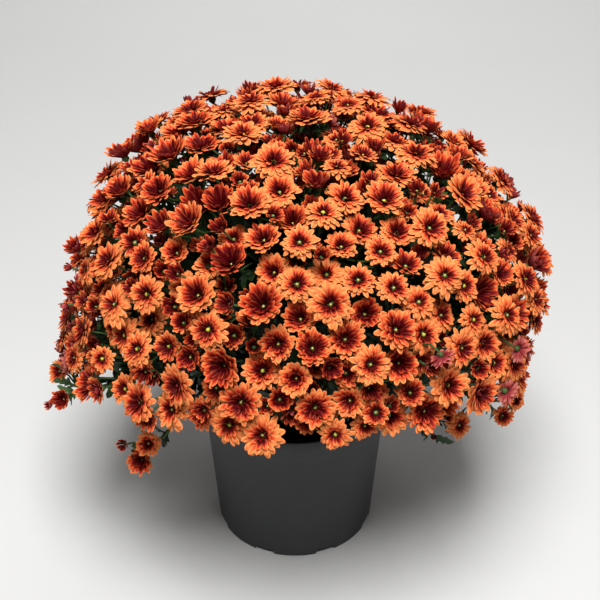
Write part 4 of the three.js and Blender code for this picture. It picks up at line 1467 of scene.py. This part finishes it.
def lattice_noise(x, y, size, seed):
    """Random heights on a square lattice, eased between the four nearest corners."""
    table = np.random.default_rng(seed).random((64, 64))
    u, v = x / size, y / size
    i, j = np.floor(u).astype(int), np.floor(v).astype(int)
    s, t = u - i, v - j
    s, t = s * s * (3 - 2 * s), t * t * (3 - 2 * t)
    corner = [table[(i + a) % 64, (j + b) % 64] for a, b in ((0, 0), (1, 0), (0, 1), (1, 1))]
    lower = corner[0] * (1 - s) + corner[1] * s
    upper = corner[2] * (1 - s) + corner[3] * s
    return lower * (1 - t) + upper * t


soil_wall = [(outer_at(z) - wall - soil_gap, z) for z in (12, 40, 80, 120, soil_top - 4)]
top_radii = np.linspace(1, 0.02, 44) * (outer_at(soil_top) - wall - soil_gap)
soil_profile = [(40, soil_foot), (80, soil_foot)] + soil_wall
wall_rings = len(soil_profile)
soil_profile += [(r, soil_top) for r in top_radii]
soil_rings, _ = ring_stack(soil_profile, soil_sides)
top_rings = soil_rings[wall_rings:]
lumps = sum(
    lattice_noise(top_rings[..., 0], top_rings[..., 1], size, seed) * height
    for size, height, seed in lump_waves
)
soil_rings[wall_rings:, :, 2] += lumps - lump_middle
soil_points, soil_faces = shells(
    soil_rings[None],
    np.array([[0.0, 0.0, soil_foot]]),
    soil_rings[-1].mean(axis=0)[None],
)

# %% [markdown]
# Moist peat is nearly black, with browner crumbs and bits of bark. The lumps above are too
# big to show them, so noise colours the crumbs, and cells of a Voronoi pattern raise the
# bits as bump.

# %% Soil finish
peat = Finish("potting_soil")
clods = peat.noise(peat.coordinates(), 160.0, detail=6.0, roughness=0.7)
bits = peat.add("TexVoronoi", {"Vector": peat.coordinates(), "Scale": 330.0})
soil_colour = peat.ramp(clods, [
    (0.3, (0.012, 0.008, 0.005)),
    (0.55, (0.035, 0.023, 0.014)),
    (0.8, (0.085, 0.058, 0.036)),
])
peat_finish = peat.finish(soil_colour, 0.95, peat.bump(
    peat.math("ADD", clods, bits.outputs["Distance"]), 0.002, 0.9))
make_piece("potting_soil", soil_points, soil_faces, [peat_finish], ["soil"])
print("soil triangles:", len(soil_faces))

# %% [markdown]
# A studio photograph: a pale seamless floor, and one broad soft light high up in front, so
# that the mound's shadow falls round the pot and a little behind it. A light that looks
# away from the plant keeps the far floor pale. A weak one behind the plant and a faint even
# surrounding keep its back from sinking into the dark.

# %% Floor
floor_size = 6.0
floor = bpy.data.meshes.new("floor")
corners = [(x * floor_size, y * floor_size, 0) for x, y in ((-1, -1), (1, -1), (1, 1), (-1, 1))]
floor.from_pydata(corners, [], [(0, 1, 2, 3)])
backdrop = Finish("pale_floor")
paper = backdrop.noise(backdrop.coordinates(), 3.0, detail=2.0)
paper_colour = backdrop.ramp(paper, [(0.0, (0.66, 0.66, 0.65)), (1.0, (0.69, 0.69, 0.68))])
floor.materials.append(backdrop.finish(paper_colour, 0.9, Specular_IOR_Level=0.1))
new_object("floor", floor)


# %% Lights
def add_light(name, place, aim, size, power):
    """A square soft light at a place, turned towards a point."""
    data = bpy.data.lights.new(name, "AREA")
    data.size = size
    data.energy = power
    light = new_object(name, data)
    light.location = place
    way = np.array(aim) - np.array(place)
    flat = np.hypot(way[0], way[1])
    light.rotation_euler = (np.arctan2(flat, -way[2]), 0, np.arctan2(-way[0], way[1]))


add_light("overhead", (0.03, -1.35, 3.25), (0, 0, 0.2), 1.6, 168)
add_light("background", (0.0, 3.3, 2.4), (0, 4.5, 0), 2.4, 44)
add_light("behind", (0.4, 2.3, 2.6), (0, 0, 0.3), 1.6, 15)
world = bpy.data.worlds.new("studio")
world.use_nodes = True
surroundings = world.node_tree.nodes["Background"].inputs
surroundings["Color"].default_value = (1.0, 0.97, 0.93, 1)
surroundings["Strength"].default_value = 0.05
bpy.context.scene.world = world
bpy.context.scene.view_settings.view_transform = "Standard"

# %% Sizes and the end
made = [item.data for item in bpy.data.objects if item.type == "MESH" and item.data.materials]
print("triangles made here:", sum(len(mesh.polygons) for mesh in made))
